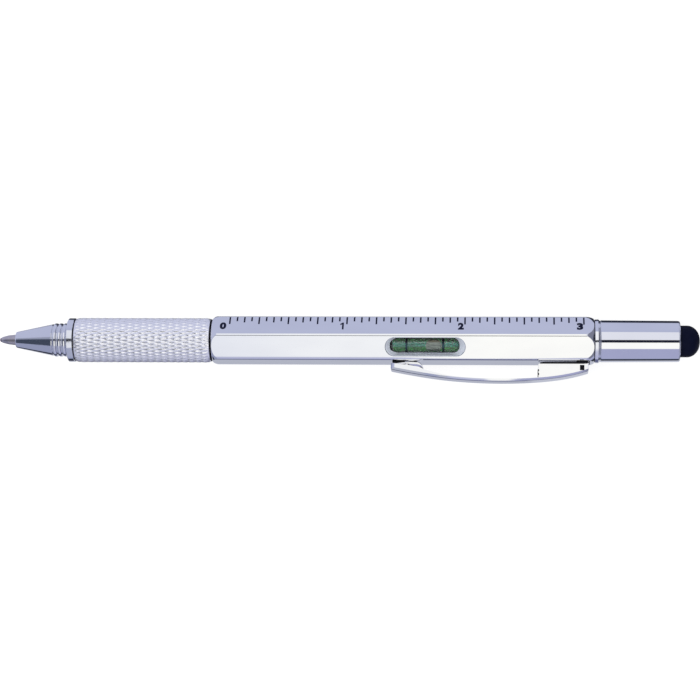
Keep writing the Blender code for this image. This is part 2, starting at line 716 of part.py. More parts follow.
def make_grip_sleeve(build, materials):
    outer = GRIP_DIAMETER / 2
    front_bore = NOSE_SPIGOT_DIAMETER / 2 + BORE_CLEARANCE
    rear_bore = ROTOR_DIAMETER / 2 + BORE_CLEARANCE
    bore_step = GRIP_FRONT + NOSE_SPIGOT_LENGTH + SEAT_GAP
    outline = [
        (GRIP_REAR, outer - GRIP_END_CHAMFER),
        (GRIP_REAR - GRIP_END_CHAMFER, outer),
        (GRIP_FRONT + GRIP_END_CHAMFER, outer),
        (GRIP_FRONT, outer - GRIP_END_CHAMFER),
        (GRIP_FRONT, front_bore),
        (bore_step, front_bore),
        (bore_step, rear_bore),
        (GRIP_REAR, rear_bore),
    ]
    mesh = turned_mesh("grip_sleeve", outline, closed=True)
    return build.piece("grip_sleeve", mesh, materials["knurl"])


def bead_outline(front):
    """The beads' rounded outline, from the rear forward."""
    width = NOSE_BEAD_BAND / NOSE_BEAD_COUNT
    neck = NOSE_NECK_DIAMETER / 2
    height = NOSE_BEAD_DIAMETER / 2 - neck
    points = []
    for bead in reversed(range(NOSE_BEAD_COUNT)):
        middle = front + width * (bead + 0.5)
        half = arc_points((0, 0), 1, 0, 2 * QUARTER_TURN, BEAD_STEPS)
        points += [(middle + width / 2 * across, neck + height * along) for across, along in half[:-1]]
    return points + [(front, neck)]


def make_nose_cone(build, materials):
    flange_front = NOSE_REAR - NOSE_FLANGE_WIDTH
    cone_rear = flange_front - NOSE_BEAD_BAND
    flange = NOSE_FLANGE_DIAMETER / 2
    spigot = NOSE_SPIGOT_DIAMETER / 2
    mouth_bore = REFILL_DIAMETER / 2 + BORE_CLEARANCE
    cavity = NOSE_CAVITY_DIAMETER / 2
    cavity_front = NOSE_FRONT + NOSE_MOUTH_LAND
    spigot_rear = NOSE_REAR + NOSE_SPIGOT_LENGTH
    outline = [
        (spigot_rear, spigot),
        (NOSE_REAR, spigot),
        (NOSE_REAR, flange - NOSE_FLANGE_CHAMFER),
        (NOSE_REAR - NOSE_FLANGE_CHAMFER, flange),
        (flange_front + NOSE_FLANGE_CHAMFER, flange),
        (flange_front, flange - NOSE_FLANGE_CHAMFER),
    ]
    outline += bead_outline(cone_rear)
    outline += [
        (cone_rear, NOSE_BACK_DIAMETER / 2),
        (NOSE_FRONT + NOSE_SHOULDER_SETBACK, NOSE_SHOULDER_DIAMETER / 2),
        (NOSE_FRONT, NOSE_MOUTH_DIAMETER / 2),
        (NOSE_FRONT, mouth_bore),
        (cavity_front, mouth_bore),
        (cavity_front + cavity - mouth_bore, cavity),
        (spigot_rear, cavity),
    ]
    return build.piece("nose_cone", turned_mesh("nose_cone", outline, closed=True), materials["chrome"])


def make_rotor_tube(build, materials):
    rear = ROTOR_REAR
    outer = ROTOR_DIAMETER / 2
    inner = ROTOR_BORE / 2
    groove_front = BUSH_REAR + SHOULDER_GAP
    groove_rear = groove_front + RING_GROOVE_WIDTH
    groove = outer - RING_GROOVE_DEPTH
    outline = [
        (rear, outer),
        (groove_rear, outer),
        (groove_rear, groove),
        (groove_front, groove),
        (groove_front, outer),
        (ROTOR_FRONT, outer),
        (ROTOR_FRONT, inner),
        (rear, inner),
    ]
    rotor = build.piece("rotor_tube", turned_mesh("rotor_tube", outline, closed=True), materials["steel"])
    half_width = PIN_DIAMETER / 2 + SLOT_CLEARANCE
    low = (PIN_PLACE - half_width, -ROTOR_DIAMETER, -half_width)
    high = (PIN_PLACE + REFILL_TRAVEL + half_width, ROTOR_DIAMETER, half_width)
    build.combine(rotor, box_mesh("pin_slots", low, high, AXIS_HEIGHT))
    return rotor


def make_retaining_ring(build, materials):
    """A snap ring in the rotor's groove. It holds the grip against the bush."""
    front = BUSH_REAR + 2 * SHOULDER_GAP
    rear = BUSH_REAR + RING_GROOVE_WIDTH
    inner = ROTOR_DIAMETER / 2 - RING_GROOVE_DEPTH + BORE_CLEARANCE
    outline = tube_outline(rear, front, RING_DIAMETER / 2, inner)
    mesh = turned_mesh("retaining_ring", outline, closed=True)
    ring = build.piece("retaining_ring", mesh, materials["steel"])
    half_gap = RING_DIAMETER / 2 * math.sin(RING_GAP_ANGLE / 2)
    low = (front - CUT_OVERRUN, -half_gap, 0)
    high = (rear + CUT_OVERRUN, half_gap, RING_DIAMETER)
    build.combine(ring, box_mesh("ring_gap", low, high, AXIS_HEIGHT))
    return ring


# Refill body

def make_refill_tip(build, materials):
    outer = REFILL_DIAMETER / 2
    spigot = REFILL_TUBE_BORE / 2 - BORE_CLEARANCE
    rim_front = REFILL_FRONT + BALL_PROUD
    socket = BALL_DIAMETER / 2 + BORE_CLEARANCE / 2
    tip_rear = REFILL_FRONT + REFILL_TIP_LENGTH
    ink_hole = TIP_INK_HOLE / 2
    outline = [
        (tip_rear + REFILL_TIP_SPIGOT, spigot),
        (tip_rear, spigot),
        (tip_rear, outer),
        (rim_front + REFILL_TIP_TAPER, outer),
        (rim_front, TIP_RIM_DIAMETER / 2),
        (rim_front, socket),
        (rim_front + TIP_SOCKET_DEPTH, socket),
        (rim_front + TIP_SOCKET_DEPTH, ink_hole),
        (tip_rear + REFILL_TIP_SPIGOT, ink_hole),
    ]
    mesh = turned_mesh("refill_tip", outline, closed=True, segments=SMALL_SEGMENTS)
    return build.piece("refill_tip", mesh, materials["steel"])


def make_tip_ball(build, materials):
    shape = bmesh.new()
    radius = BALL_DIAMETER / 2
    placing = Matrix.Translation((REFILL_FRONT + radius, 0, APOTHEM)) @ TURN_TO_X
    rings = SMALL_SEGMENTS // 2
    bmesh.ops.create_uvsphere(
        shape,
        u_segments=SMALL_SEGMENTS,
        v_segments=rings,
        radius=radius,
        matrix=placing,
    )
    mesh = mesh_from_bmesh("tip_ball", shape)
    mesh.shade_smooth()
    return build.piece("tip_ball", mesh, materials["brass"])


def make_refill_tube(build, materials):
    front = REFILL_FRONT + REFILL_TIP_LENGTH + SHOULDER_GAP
    outline = tube_outline(REFILL_REAR, front, REFILL_DIAMETER / 2, REFILL_TUBE_BORE / 2)
    mesh = turned_mesh("refill_tube", outline, closed=True, segments=SMALL_SEGMENTS)
    return build.piece("refill_tube", mesh, materials["steel"])


def make_ink_column(build, materials):
    front = REFILL_FRONT + REFILL_TIP_LENGTH + REFILL_TIP_SPIGOT + SHOULDER_GAP
    radius = REFILL_TUBE_BORE / 2 - BORE_CLEARANCE
    outline = solid_outline(front + INK_LENGTH, front, radius)
    mesh = turned_mesh("ink_column", outline, closed=False, segments=SMALL_SEGMENTS)
    return build.piece("ink_column", mesh, materials["ink"])


def make_refill_carrier(build, materials):
    rear = CARRIER_FRONT + CARRIER_LENGTH
    outer = CARRIER_DIAMETER / 2
    seat = REFILL_DIAMETER / 2 + BORE_CLEARANCE
    seat_end = REFILL_REAR + SHOULDER_GAP
    outline = [(rear, 0), (rear, outer), (CARRIER_FRONT, outer)]
    outline += [(CARRIER_FRONT, seat), (seat_end, seat), (seat_end, 0)]
    mesh = turned_mesh("refill_carrier", outline, closed=False)
    carrier = build.piece("refill_carrier", mesh, materials["black"])
    cross = Matrix.Translation((PIN_PLACE, 0, APOTHEM)) @ Matrix.Rotation(QUARTER_TURN, 4, "X")
    hole = cylinder_mesh("pin_hole", PIN_DIAMETER / 2 + BORE_CLEARANCE, 2 * CARRIER_DIAMETER, cross)
    build.combine(carrier, hole)
    return carrier


def make_drive_pin(build, materials):
    cross = Matrix.Translation((PIN_PLACE, 0, APOTHEM)) @ Matrix.Rotation(QUARTER_TURN, 4, "X")
    mesh = cylinder_mesh("drive_pin", PIN_DIAMETER / 2, PIN_LENGTH, cross)
    return build.piece("drive_pin", mesh, materials["steel"])


# Clip body

def clip_placing():
    """Matrix that turns a shape made on the top facet onto the clip's facet."""
    return AXIS_HEIGHT @ Matrix.Rotation(CLIP_FACET_ANGLE, 4, "X")


def clip_toe_bottom():
    return BARREL_BORE / 2 - CLIP_TOE_DEPTH


def clip_arc_height(along, drop=0.0):
    """Height above the axis of the clip's outer arc, or of a parallel arc below it."""
    centre = CLIP_CREST_HEIGHT - CLIP_ARC_RADIUS
    radius = CLIP_ARC_RADIUS - drop
    from_crest = along - (CLIP_FRONT + CLIP_CREST_FROM_TIP)
    return centre + math.sqrt(radius * radius - from_crest * from_crest)


def clip_arc(start, end, drop=0.0):
    places = [start + (end - start) * step / ARC_STEPS for step in range(ARC_STEPS + 1)]
    return [(along, clip_arc_height(along, drop)) for along in places]


def rounded_corner(corner_x, corner_height, turn_start):
    """A quarter round whose outer corner is the given point, drawn from one side to the next."""
    towards = Vector((math.cos(turn_start + QUARTER_TURN / 2), math.sin(turn_start + QUARTER_TURN / 2)))
    reach = CLIP_TIP_RADIUS * math.sqrt(2)
    centre = (corner_x - towards.x * reach, corner_height - towards.y * reach)
    return arc_points(centre, CLIP_TIP_RADIUS, turn_start, turn_start + QUARTER_TURN, CORNER_STEPS)


def clip_outline():
    """The clip's side view: (place along X, height above the axis), counter-clockwise from the toe."""
    foot_level = APOTHEM + CLIP_FOOT_GAP
    block_level = APOTHEM + CLIP_BLOCK_GAP
    toe_bottom = clip_toe_bottom()
    toe_top = toe_bottom + CLIP_TOE_THICKNESS
    foot_rear = CLIP_FRONT + CLIP_FOOT_LENGTH
    foot_break = foot_rear - CLIP_FOOT_SLOPE
    points = [(CLIP_LEG_FRONT - CLIP_TOE_LENGTH, toe_bottom), (CLIP_REAR, toe_bottom)]
    points += rounded_corner(CLIP_REAR, clip_arc_height(CLIP_REAR), 0)
    points += clip_arc(CLIP_REAR - 2 * CLIP_TIP_RADIUS, CLIP_FRONT + 2 * CLIP_TIP_RADIUS)
    points += rounded_corner(CLIP_FRONT, clip_arc_height(CLIP_FRONT), QUARTER_TURN)
    points += [(CLIP_FRONT, foot_level), (foot_break, foot_level)]
    points += clip_arc(foot_rear, CLIP_BLOCK_FRONT, CLIP_THICKNESS)
    points += [(CLIP_BLOCK_FRONT, block_level), (CLIP_BLOCK_REAR, block_level)]
    points += [(CLIP_BLOCK_REAR, clip_arc_height(CLIP_BLOCK_REAR, CLIP_THICKNESS))]
    points += [(CLIP_LEG_FRONT, clip_arc_height(CLIP_LEG_FRONT, CLIP_THICKNESS))]
    points += [(CLIP_LEG_FRONT, toe_top), (CLIP_LEG_FRONT - CLIP_TOE_LENGTH, toe_top)]
    return points


def make_pocket_clip(build, materials):
    curve = bpy.data.curves.new("clip_outline", "CURVE")
    curve.dimensions = "2D"
    curve.fill_mode = "BOTH"
    curve.extrude = CLIP_WIDTH / 2
    spline = curve.splines.new("POLY")
    outline = clip_outline()
    spline.points.add(len(outline) - 1)
    for point, (along, height) in zip(spline.points, outline):
        point.co = (along, height, 0, 1)
    spline.use_cyclic_u = True
    source = bpy.data.objects.new("clip_outline", curve)
    bpy.context.scene.collection.objects.link(source)
    source.matrix_world = clip_placing() @ Matrix.Rotation(QUARTER_TURN, 4, "X")
    bpy.context.view_layer.update()
    mesh = weld(evaluated_mesh("pocket_clip", source))
    clip = build.piece("pocket_clip", mesh, materials["chrome"])
    half_width = CLIP_NECK_WIDTH / 2
    low = (CLIP_BLOCK_FRONT + CLIP_NECK_INSET, -half_width, APOTHEM + SHOULDER_GAP)
    high = (CLIP_BLOCK_REAR - CLIP_NECK_INSET, half_width, APOTHEM + 2 * CLIP_BLOCK_GAP)
    build.combine(clip, box_mesh("clip_neck", low, high, clip_placing()), "UNION")
    return clip


def weld(mesh):
    """Join a filled curve's loose caps to its sides."""
    shape = bmesh.new()
    shape.from_mesh(mesh)
    bmesh.ops.remove_doubles(shape, verts=shape.verts, dist=MERGE_DISTANCE)
    bmesh.ops.recalc_face_normals(shape, faces=shape.faces)
    shape.to_mesh(mesh)
    shape.free()
    shade_round(mesh)
    return mesh


# Bit, cap and stylus

def flute_mesh(name, turn):
    """A square groove along the cross point's side, leaning out toward the shank."""
    root = BIT_POINT_DIAMETER / 2
    front = bit_rear() - BIT_TIP_LENGTH / 2
    low = (front, root, -BIT_FLUTE_WIDTH / 2)
    high = (bit_rear() + CUT_OVERRUN, BIT_SHAFT_DIAMETER, BIT_FLUTE_WIDTH / 2)
    return box_mesh(name, low, high, AXIS_HEIGHT @ Matrix.Rotation(turn, 4, "X"))


def bit_front():
    return SOCKET_FLOOR + SHOULDER_GAP


def bit_rear():
    return bit_front() + BIT_LENGTH


def make_screwdriver_bit(build, materials):
    """A hexagonal shank with a cross point toward the cap and a flat blade in the socket."""
    shank_front = bit_front() + BIT_TIP_LENGTH
    shank_rear = bit_rear() - BIT_TIP_LENGTH
    bit = build.piece(
        "screwdriver_bit",
        prism_mesh("screwdriver_bit", shank_rear, shank_front, BIT_ACROSS_FLATS),
        materials["tool"],
    )
    shaft = BIT_SHAFT_DIAMETER / 2
    point = BIT_POINT_DIAMETER / 2
    cone_start = bit_rear() - (shaft - point)
    cross_end = [(bit_rear(), 0), (bit_rear(), point), (cone_start, shaft)]
    cross_end += [(shank_rear - CUT_OVERRUN, shaft), (shank_rear - CUT_OVERRUN, 0)]
    cross_mesh = turned_mesh("cross_end", cross_end, closed=False, segments=SMALL_SEGMENTS)
    build.combine(bit, cross_mesh, "UNION")
    blade_end = solid_outline(shank_front + CUT_OVERRUN, bit_front(), shaft)
    blade_mesh = turned_mesh("blade_end", blade_end, closed=False, segments=SMALL_SEGMENTS)
    build.combine(bit, blade_mesh, "UNION")
    for index in range(BIT_FLUTE_COUNT):
        turn = FULL_TURN * index / BIT_FLUTE_COUNT
        build.combine(bit, flute_mesh("cross_flute_%d" % index, turn))
    for side in (-1, 1):
        build.combine(bit, blade_side_mesh("blade_side_%d" % (side > 0), side))
    return bit


def blade_side_mesh(name, side):
    """What is ground off one side of the flat blade."""
    inner = BIT_BLADE_THICKNESS / 2
    outer = BIT_SHAFT_DIAMETER
    heights = sorted((side * inner, side * outer))
    low = (bit_front() - CUT_OVERRUN, -BIT_SHAFT_DIAMETER, heights[0])
    high = (bit_front() + BIT_BLADE_LENGTH, BIT_SHAFT_DIAMETER, heights[1])
    return box_mesh(name, low, high, AXIS_HEIGHT)


def make_cap_tube(build, materials):
    front_radius = CAP_FRONT_DIAMETER / 2
    rear_radius = CAP_REAR_DIAMETER / 2
    bore = CAP_BORE / 2
    groove_front = CAP_FRONT + SEAL_SETBACK
    groove_rear = groove_front + SEAL_WIDTH + 2 * SHOULDER_GAP
    groove = SEAL_GROOVE_DIAMETER / 2
    outline = [
        (CAP_REAR, rear_radius - CAP_CHAMFER),
        (CAP_REAR - CAP_CHAMFER, rear_radius),
        (CAP_FRONT + CAP_CHAMFER, front_radius),
        (CAP_FRONT, front_radius - CAP_CHAMFER),
        (CAP_FRONT, bore),
        (groove_front, bore),
        (groove_front, groove),
        (groove_rear, groove),
        (groove_rear, bore),
        (CAP_REAR, bore),
    ]
    return build.piece("cap_tube", turned_mesh("cap_tube", outline, closed=True), materials["chrome"])


def make_cap_seal(build, materials):
    """A round seal in the cap's mouth that grips the holder's spigot."""
    front = CAP_FRONT + SEAL_SETBACK + SHOULDER_GAP
    rear = front + SEAL_WIDTH
    inner = HOLDER_SPIGOT_DIAMETER / 2 + BORE_CLEARANCE
    outer = SEAL_GROOVE_DIAMETER / 2 - BORE_CLEARANCE
    bevel = (outer - inner) * SEAL_BEVEL_SHARE
    outline = [
        (rear, outer - bevel),
        (rear - bevel, outer),
        (front + bevel, outer),
        (front, outer - bevel),
        (front, inner + bevel),
        (front + bevel, inner),
        (rear - bevel, inner),
        (rear, inner + bevel),
    ]
    return build.piece("cap_seal", turned_mesh("cap_seal", outline, closed=True), materials["seal"])


def make_stylus_holder(build, materials):
    boss_front = STYLUS_FRONT - SHOULDER_GAP
    boss_rear = boss_front + STYLUS_BOSS_LENGTH
    boss = STYLUS_DIAMETER / 2 - STYLUS_WALL - BORE_CLEARANCE
    plug_front = boss_front - STYLUS_HOLDER_THICKNESS
    plug = CAP_BORE / 2 - BORE_CLEARANCE
    outline = [
        (boss_rear, 0),
        (boss_rear, boss),
        (boss_front, boss),
        (boss_front, plug),
        (plug_front, plug),
        (plug_front, 0),
    ]
    mesh = turned_mesh("stylus_holder", outline, closed=False)
    return build.piece("stylus_holder", mesh, materials["black"])


def make_stylus_tip(build, materials):
    outer = STYLUS_DIAMETER / 2
    inner = outer - STYLUS_WALL
    hollow_depth = STYLUS_BOSS_LENGTH + SEAT_GAP
    outline = dome_outline(STYLUS_END, outer, STYLUS_DOME_LENGTH, ARC_STEPS // 2)
    outline += [(STYLUS_FRONT, outer), (STYLUS_FRONT, inner)]
    outline += [(STYLUS_FRONT + hollow_depth, inner), (STYLUS_FRONT + hollow_depth, 0)]
    mesh = turned_mesh("stylus_tip", outline, closed=False)
    return build.piece("stylus_tip", mesh, materials["rubber"])


def main():
    clear_scene()
    build = Builder()
    materials = make_materials()
    make_hex_barrel(build, materials)
    make_front_bush(build, materials)
    make_cam_sleeve(build, materials)
    make_level_cradle(build, materials)
    make_vial_tube(build, materials)
    make_vial_plug(build, materials)
    make_vial_fluid(build, materials)
    make_level_bubble(build, materials)
    make_vial_line(build, materials, "vial_line_left", LINE_LEFT_START)
    make_vial_line(build, materials, "vial_line_right", LINE_RIGHT_START)
    make_bit_holder(build, materials)
    make_collar_ring(build, materials)
    make_grip_sleeve(build, materials)
    make_nose_cone(build, materials)
    make_rotor_tube(build, materials)
    make_retaining_ring(build, materials)
    make_refill_tip(build, materials)
    make_tip_ball(build, materials)
    make_refill_tube(build, materials)
    make_ink_column(build, materials)
    make_refill_carrier(build, materials)
    make_drive_pin(build, materials)
    make_pocket_clip(build, materials)
    make_screwdriver_bit(build, materials)
    make_cap_tube(build, materials)
    make_cap_seal(build, materials)
    make_stylus_holder(build, materials)
    make_stylus_tip(build, materials)


main()
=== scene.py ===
"""Looks of the multi tool pen: chromed ruler barrel with a level, knurled grip, clip and cap.

Shapes are drawn in millimetres about the pen's axis. publish() puts them in the frame's metres.
"""

import math

import bmesh
import bpy
import numpy as np
from mathutils import Matrix, Vector


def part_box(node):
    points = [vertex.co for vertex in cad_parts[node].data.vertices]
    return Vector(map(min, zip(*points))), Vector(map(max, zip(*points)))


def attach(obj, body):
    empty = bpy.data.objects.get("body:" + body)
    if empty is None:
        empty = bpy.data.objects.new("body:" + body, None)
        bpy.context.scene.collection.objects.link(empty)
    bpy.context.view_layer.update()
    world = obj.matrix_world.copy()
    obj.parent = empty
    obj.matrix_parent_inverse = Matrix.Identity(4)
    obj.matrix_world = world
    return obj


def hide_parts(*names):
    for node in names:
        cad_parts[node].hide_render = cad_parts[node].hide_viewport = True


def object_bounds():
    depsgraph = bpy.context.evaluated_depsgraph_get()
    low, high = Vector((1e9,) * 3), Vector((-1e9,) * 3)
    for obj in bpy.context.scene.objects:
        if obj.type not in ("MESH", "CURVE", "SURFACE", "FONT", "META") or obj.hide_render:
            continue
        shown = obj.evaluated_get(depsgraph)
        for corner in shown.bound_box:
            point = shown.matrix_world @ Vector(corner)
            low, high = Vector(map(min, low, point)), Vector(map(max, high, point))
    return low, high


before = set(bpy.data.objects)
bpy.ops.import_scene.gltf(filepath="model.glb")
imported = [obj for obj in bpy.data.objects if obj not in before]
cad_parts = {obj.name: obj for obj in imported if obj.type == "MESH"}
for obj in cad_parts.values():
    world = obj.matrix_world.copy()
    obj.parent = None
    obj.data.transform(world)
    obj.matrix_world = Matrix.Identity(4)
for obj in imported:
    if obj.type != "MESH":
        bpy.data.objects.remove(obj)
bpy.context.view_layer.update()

MM = 0.001
HALF_HEX = math.radians(30)


# Places along X in millimetres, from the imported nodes

def span(node):
    low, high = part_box(node)
    return low.x / MM, high.x / MM


def mid_height(node):
    low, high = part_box(node)
    return (low.z + high.z) / 2 / MM


# The pen lies on its bottom facet
AXIS_Z = mid_height("hex_barrel")
APOTHEM = AXIS_Z
BARREL_X = span("hex_barrel")
GRIP_X = span("grip_sleeve")
NOSE_X = span("nose_cone")
CAP_X = span("cap_tube")
COLLAR_X = span("collar_ring")
STYLUS_X = span("stylus_tip")
VIAL_X = span("vial_tube")
CLIP_X = span("pocket_clip")
VIAL_LIFT = mid_height("vial_tube") - AXIS_Z

# Facets by their angle from the top one toward +Y, and the clip's toward -Y
INCH_FACET = 60
CENTIMETRE_FACET = 120
CLIP_FACET = 60

# The barrel's rear end and the collar's front lie this much before the CAD ones
END_SHIFT = 0.2
# The seam between nose and grip lies this much behind the CAD one
SEAM_SHIFT = 0.3


# Mesh building, in millimetres about the axis

def link(name, data):
    made = bpy.data.objects.new(name, data)
    bpy.context.scene.collection.objects.link(made)
    return made


def edit_mesh(mesh, change):
    """Let a function change a mesh as a bmesh."""
    shape = bmesh.new()
    shape.from_mesh(mesh)
    change(shape)
    shape.to_mesh(mesh)
    shape.free()


def face_outward(shape):
    bmesh.ops.recalc_face_normals(shape, faces=shape.faces)


def mesh_object(name, points, faces):
    mesh = bpy.data.meshes.new(name)
    mesh.from_pydata([tuple(map(float, point)) for point in points], [], faces)
    edit_mesh(mesh, face_outward)
    return link(name, mesh)


def evaluated(piece, keep_layers):
    """A new mesh of what a piece's modifiers, or its text, make."""
    bpy.context.view_layer.update()
    graph = bpy.context.evaluated_depsgraph_get()
    return bpy.data.meshes.new_from_object(
        piece.evaluated_get(graph), preserve_all_data_layers=keep_layers, depsgraph=graph
    )


def baked(piece):
    """Replace the mesh by what its modifiers make of it."""
    made = evaluated(piece, True)
    old = piece.data
    piece.modifiers.clear()
    piece.data = made
    bpy.data.meshes.remove(old)
    made.name = piece.name
    return piece


def combine(target, tool, operation="DIFFERENCE"):
    step = target.modifiers.new(tool.name, "BOOLEAN")
    step.operation = operation
    step.solver = "EXACT"
    step.object = tool
    baked(target)
    bpy.data.objects.remove(tool, do_unlink=True)


def publish(piece, body, look, replaces=(), sharp=35):
    """Shade a piece, put it in the frame in metres and let it ride on its body."""
    slot, material = LOOKS[look]
    baked(piece)
    piece.data.materials.clear()
    piece.data.materials.append(material)
    piece.data.shade_smooth()
    piece.data.set_sharp_from_angle(angle=math.radians(sharp))
    step = piece.modifiers.new("normals", "WEIGHTED_NORMAL")
    step.keep_sharp = True
    baked(piece)
    piece.data.transform(Matrix.Translation((0, 0, AXIS_Z * MM)) @ Matrix.Scale(MM, 4))
    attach(piece, body)
    if replaces:
        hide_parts(*replaces)


def shares(steps):
    """Equal steps from 0 to 1."""
    return [count / steps for count in range(steps + 1)]


def rounded(points, closed=False, step=15):
    """Round the corners of an outline. A point is (along, out, radius)."""
    made = []
    last = len(points) - 1
    for index, (along, out, fillet) in enumerate(points):
        here = Vector((along, out))
        if fillet <= 0 or (not closed and index in (0, last)):
            made.append(here)
            continue
        before = Vector(points[index - 1][:2]) - here
        after = Vector(points[(index + 1) % len(points)][:2]) - here
        turn = math.pi - before.angle(after)
        if turn < 0.01:
            made.append(here)
            continue
        reach = min(fillet * math.tan(turn / 2), 0.49 * before.length, 0.49 * after.length)
        radius = reach / math.tan(turn / 2)
        before.normalize()
        after.normalize()
        centre = here + (before + after).normalized() * radius / math.cos(turn / 2)
        start = here + before * reach - centre
        end = here + after * reach - centre
        steps = max(2, math.ceil(math.degrees(turn) / step))
        for share in shares(steps):
            first = math.sin((1 - share) * turn) / math.sin(turn)
            second = math.sin(share * turn) / math.sin(turn)
            made.append(centre + start * first + end * second)
    return [(point.x, point.y) for point in made]


def skin(name, rings, closed=False):
    """Join rings of points into one surface. A ring of one point is a pole."""
    points = []
    numbers = []
    for ring in rings:
        numbers.append(list(range(len(points), len(points) + len(ring))))
        points.extend(ring)
    pairs = list(zip(numbers, numbers[1:]))
    if closed:
        pairs.append((numbers[-1], numbers[0]))
    faces = []
    for lower, upper in pairs:
        for index in range(max(len(lower), len(upper))):
            corners = [
                lower[index % len(lower)],
                lower[(index + 1) % len(lower)],
                upper[(index + 1) % len(upper)],
                upper[index % len(upper)],
            ]
            faces.append(list(dict.fromkeys(corners)))
    return mesh_object(name, points, faces)


def solid(name, rings):
    """A skin whose open ends are closed."""
    def close(shape):
        bmesh.ops.holes_fill(shape, edges=[edge for edge in shape.edges if edge.is_boundary])
        face_outward(shape)

    piece = skin(name, rings)
    edit_mesh(piece.data, close)
    return piece


def at_height(outline, height):
    return [(x, y, height) for x, y in outline]


def beveled(piece, width, segments=3, limit=50):
    bevel = piece.modifiers.new("edges", "BEVEL")
    bevel.width = width
    bevel.segments = segments
    bevel.limit_method = "ANGLE"
    bevel.angle_limit = math.radians(limit)
    return baked(piece)


def circle(along, radius, segments, lift=0.0):
    if radius < 0.00001:
        return [(along, 0, lift)]
    turns = [2 * math.pi * index / segments for index in range(segments)]
    return [(along, radius * math.sin(turn), lift + radius * math.cos(turn)) for turn in turns]


def lathe(name, outline, segments=96, closed=False, lift=0.0):
    rings = [circle(along, radius, segments, lift) for along, radius in outline]
    return skin(name, rings, closed)


def turned_ring(name, outline, segments=128):
    """A closed, rounded outline turned about the axis."""
    return lathe(name, rounded(outline, closed=True), segments, closed=True)


def drawn_out(name, first, last):
    """Join two equal rings of points by straight sides, with flat ends."""
    count = len(first)
    faces = [list(range(count)), list(range(count, 2 * count))]
    for index in range(count):
        after = (index + 1) % count
        faces.append([index, after, count + after, count + index])
    return mesh_object(name, [*first, *last], faces)


def prism(name, section, front, rear):
    """A section of (y, z) points drawn out along X."""
    return drawn_out(name, *([(along, y, z) for y, z in section] for along in (front, rear)))


def box(name, low, high):
    section = [(low[1], low[2]), (high[1], low[2]), (high[1], high[2]), (low[1], high[2])]
    return prism(name, section, low[0], high[0])


def turned(piece, degrees):
    """Turn a piece about the pen's axis, from the top facet toward -Y."""
    piece.data.transform(Matrix.Rotation(math.radians(degrees), 4, "X"))
    return piece


# The barrel's hexagonal section, with soft corners

CORNER_LENGTH = 1.4
CORNER_SAMPLES = 321


def soft_corner():
    """The section's corner, seen corner upward: its turn builds up slowly from each flat."""
    share = np.linspace(-1, 1, CORNER_SAMPLES)
    turn = HALF_HEX * (1.5 * share - 0.5 * share ** 3)
    step = CORNER_LENGTH / 2 * (share[1] - share[0])

    def summed(slope):
        return np.concatenate(([0], np.cumsum((slope[1:] + slope[:-1]) / 2 * step)))

    across = summed(np.cos(turn))
    across -= across[-1] / 2
    top = (APOTHEM - across[-1] * math.sin(HALF_HEX)) / math.cos(HALF_HEX)
    return share, turn, across, top - summed(np.sin(turn))


CORNER_SHARE, CORNER_TURN, CORNER_ACROSS, CORNER_HEIGHT = soft_corner()
FACET_FLAT = CORNER_HEIGHT[-1] * math.sin(HALF_HEX) - CORNER_ACROSS[-1] * math.cos(HALF_HEX)
CORNER_REACH = float(CORNER_HEIGHT.max())


def corner_point(corner, share, lift=0.0):
    """A point on a corner whose middle lies at the angle corner. share runs from -1 to 1."""
    turn = np.interp(share, CORNER_SHARE, CORNER_TURN)
    across = np.interp(share, CORNER_SHARE, CORNER_ACROSS) + lift * math.sin(turn)
    height = np.interp(share, CORNER_SHARE, CORNER_HEIGHT) + lift * math.cos(turn)
    return (
        across * math.cos(corner) + height * math.sin(corner),
        height * math.cos(corner) - across * math.sin(corner),
    )


def hexagon(steps=14):
    """The barrel's section, with flats up and down, as (y, z) points."""
    points = []
    for corner in range(6):
        middle = HALF_HEX + corner * 2 * HALF_HEX
        for count in range(steps + 1):
            points.append(corner_point(middle, -1 + 2 * count / steps))
    return points


def facet_point(across, lift):
    """A point over the top facet. across runs along it, and past its flat follows the edge."""
    if abs(across) <= FACET_FLAT:
        return across, APOTHEM + lift
    side = 1 if across > 0 else -1
    share = -1 + (abs(across) - FACET_FLAT) / (CORNER_LENGTH / 2)
    return corner_point(side * HALF_HEX, side * share, lift)


# Materials

class Nodes:
    """A node tree under construction."""

    def __init__(self, tree):
        self.tree = tree

    def add(self, kind, inputs, **settings):
        """Add a node. Each input gets a value, or a wire from another node's output."""
        node = self.tree.nodes.new(kind)
        for name, value in settings.items():
            setattr(node, name, value)
        for key, value in inputs.items():
            socket = node.inputs[key]
            if isinstance(value, bpy.types.NodeSocket):
                self.tree.links.new(value, socket)
            else:
                socket.default_value = (*value, 1) if socket.type == "RGBA" else value
        return node

    def math(self, operation, *values):
        inputs = dict(enumerate(values))
        return self.add("ShaderNodeMath", inputs, operation=operation).outputs[0]

    def mix(self, factor, first, second):
        inputs = {0: factor, 6: first, 7: second}
        return self.add("ShaderNodeMix", inputs, data_type="RGBA").outputs[2]

    def ranged(self, value, start, end, low=0.0, high=1.0, kind="LINEAR"):
        """Map start to low and end to high."""
        inputs = {"Value": value, "From Min": start, "From Max": end, "To Min": low, "To Max": high}
        return self.add("ShaderNodeMapRange", inputs, interpolation_type=kind).outputs["Result"]

    def ramp(self, value, stops):
        """A colour that changes with a value. A stop is (place, colour)."""
        node = self.add("ShaderNodeValToRGB", {0: value})
        elements = node.color_ramp.elements
        while len(elements) > 1:
            elements.remove(elements[0])
        for count, (place, colour) in enumerate(stops):
            stop = elements[0] if count == 0 else elements.new(place)
            stop.position = place
            stop.color = (*colour, 1)
        return node.outputs["Color"]

    def split(self, vector):
        return self.add("ShaderNodeSeparateXYZ", {"Vector": vector}).outputs


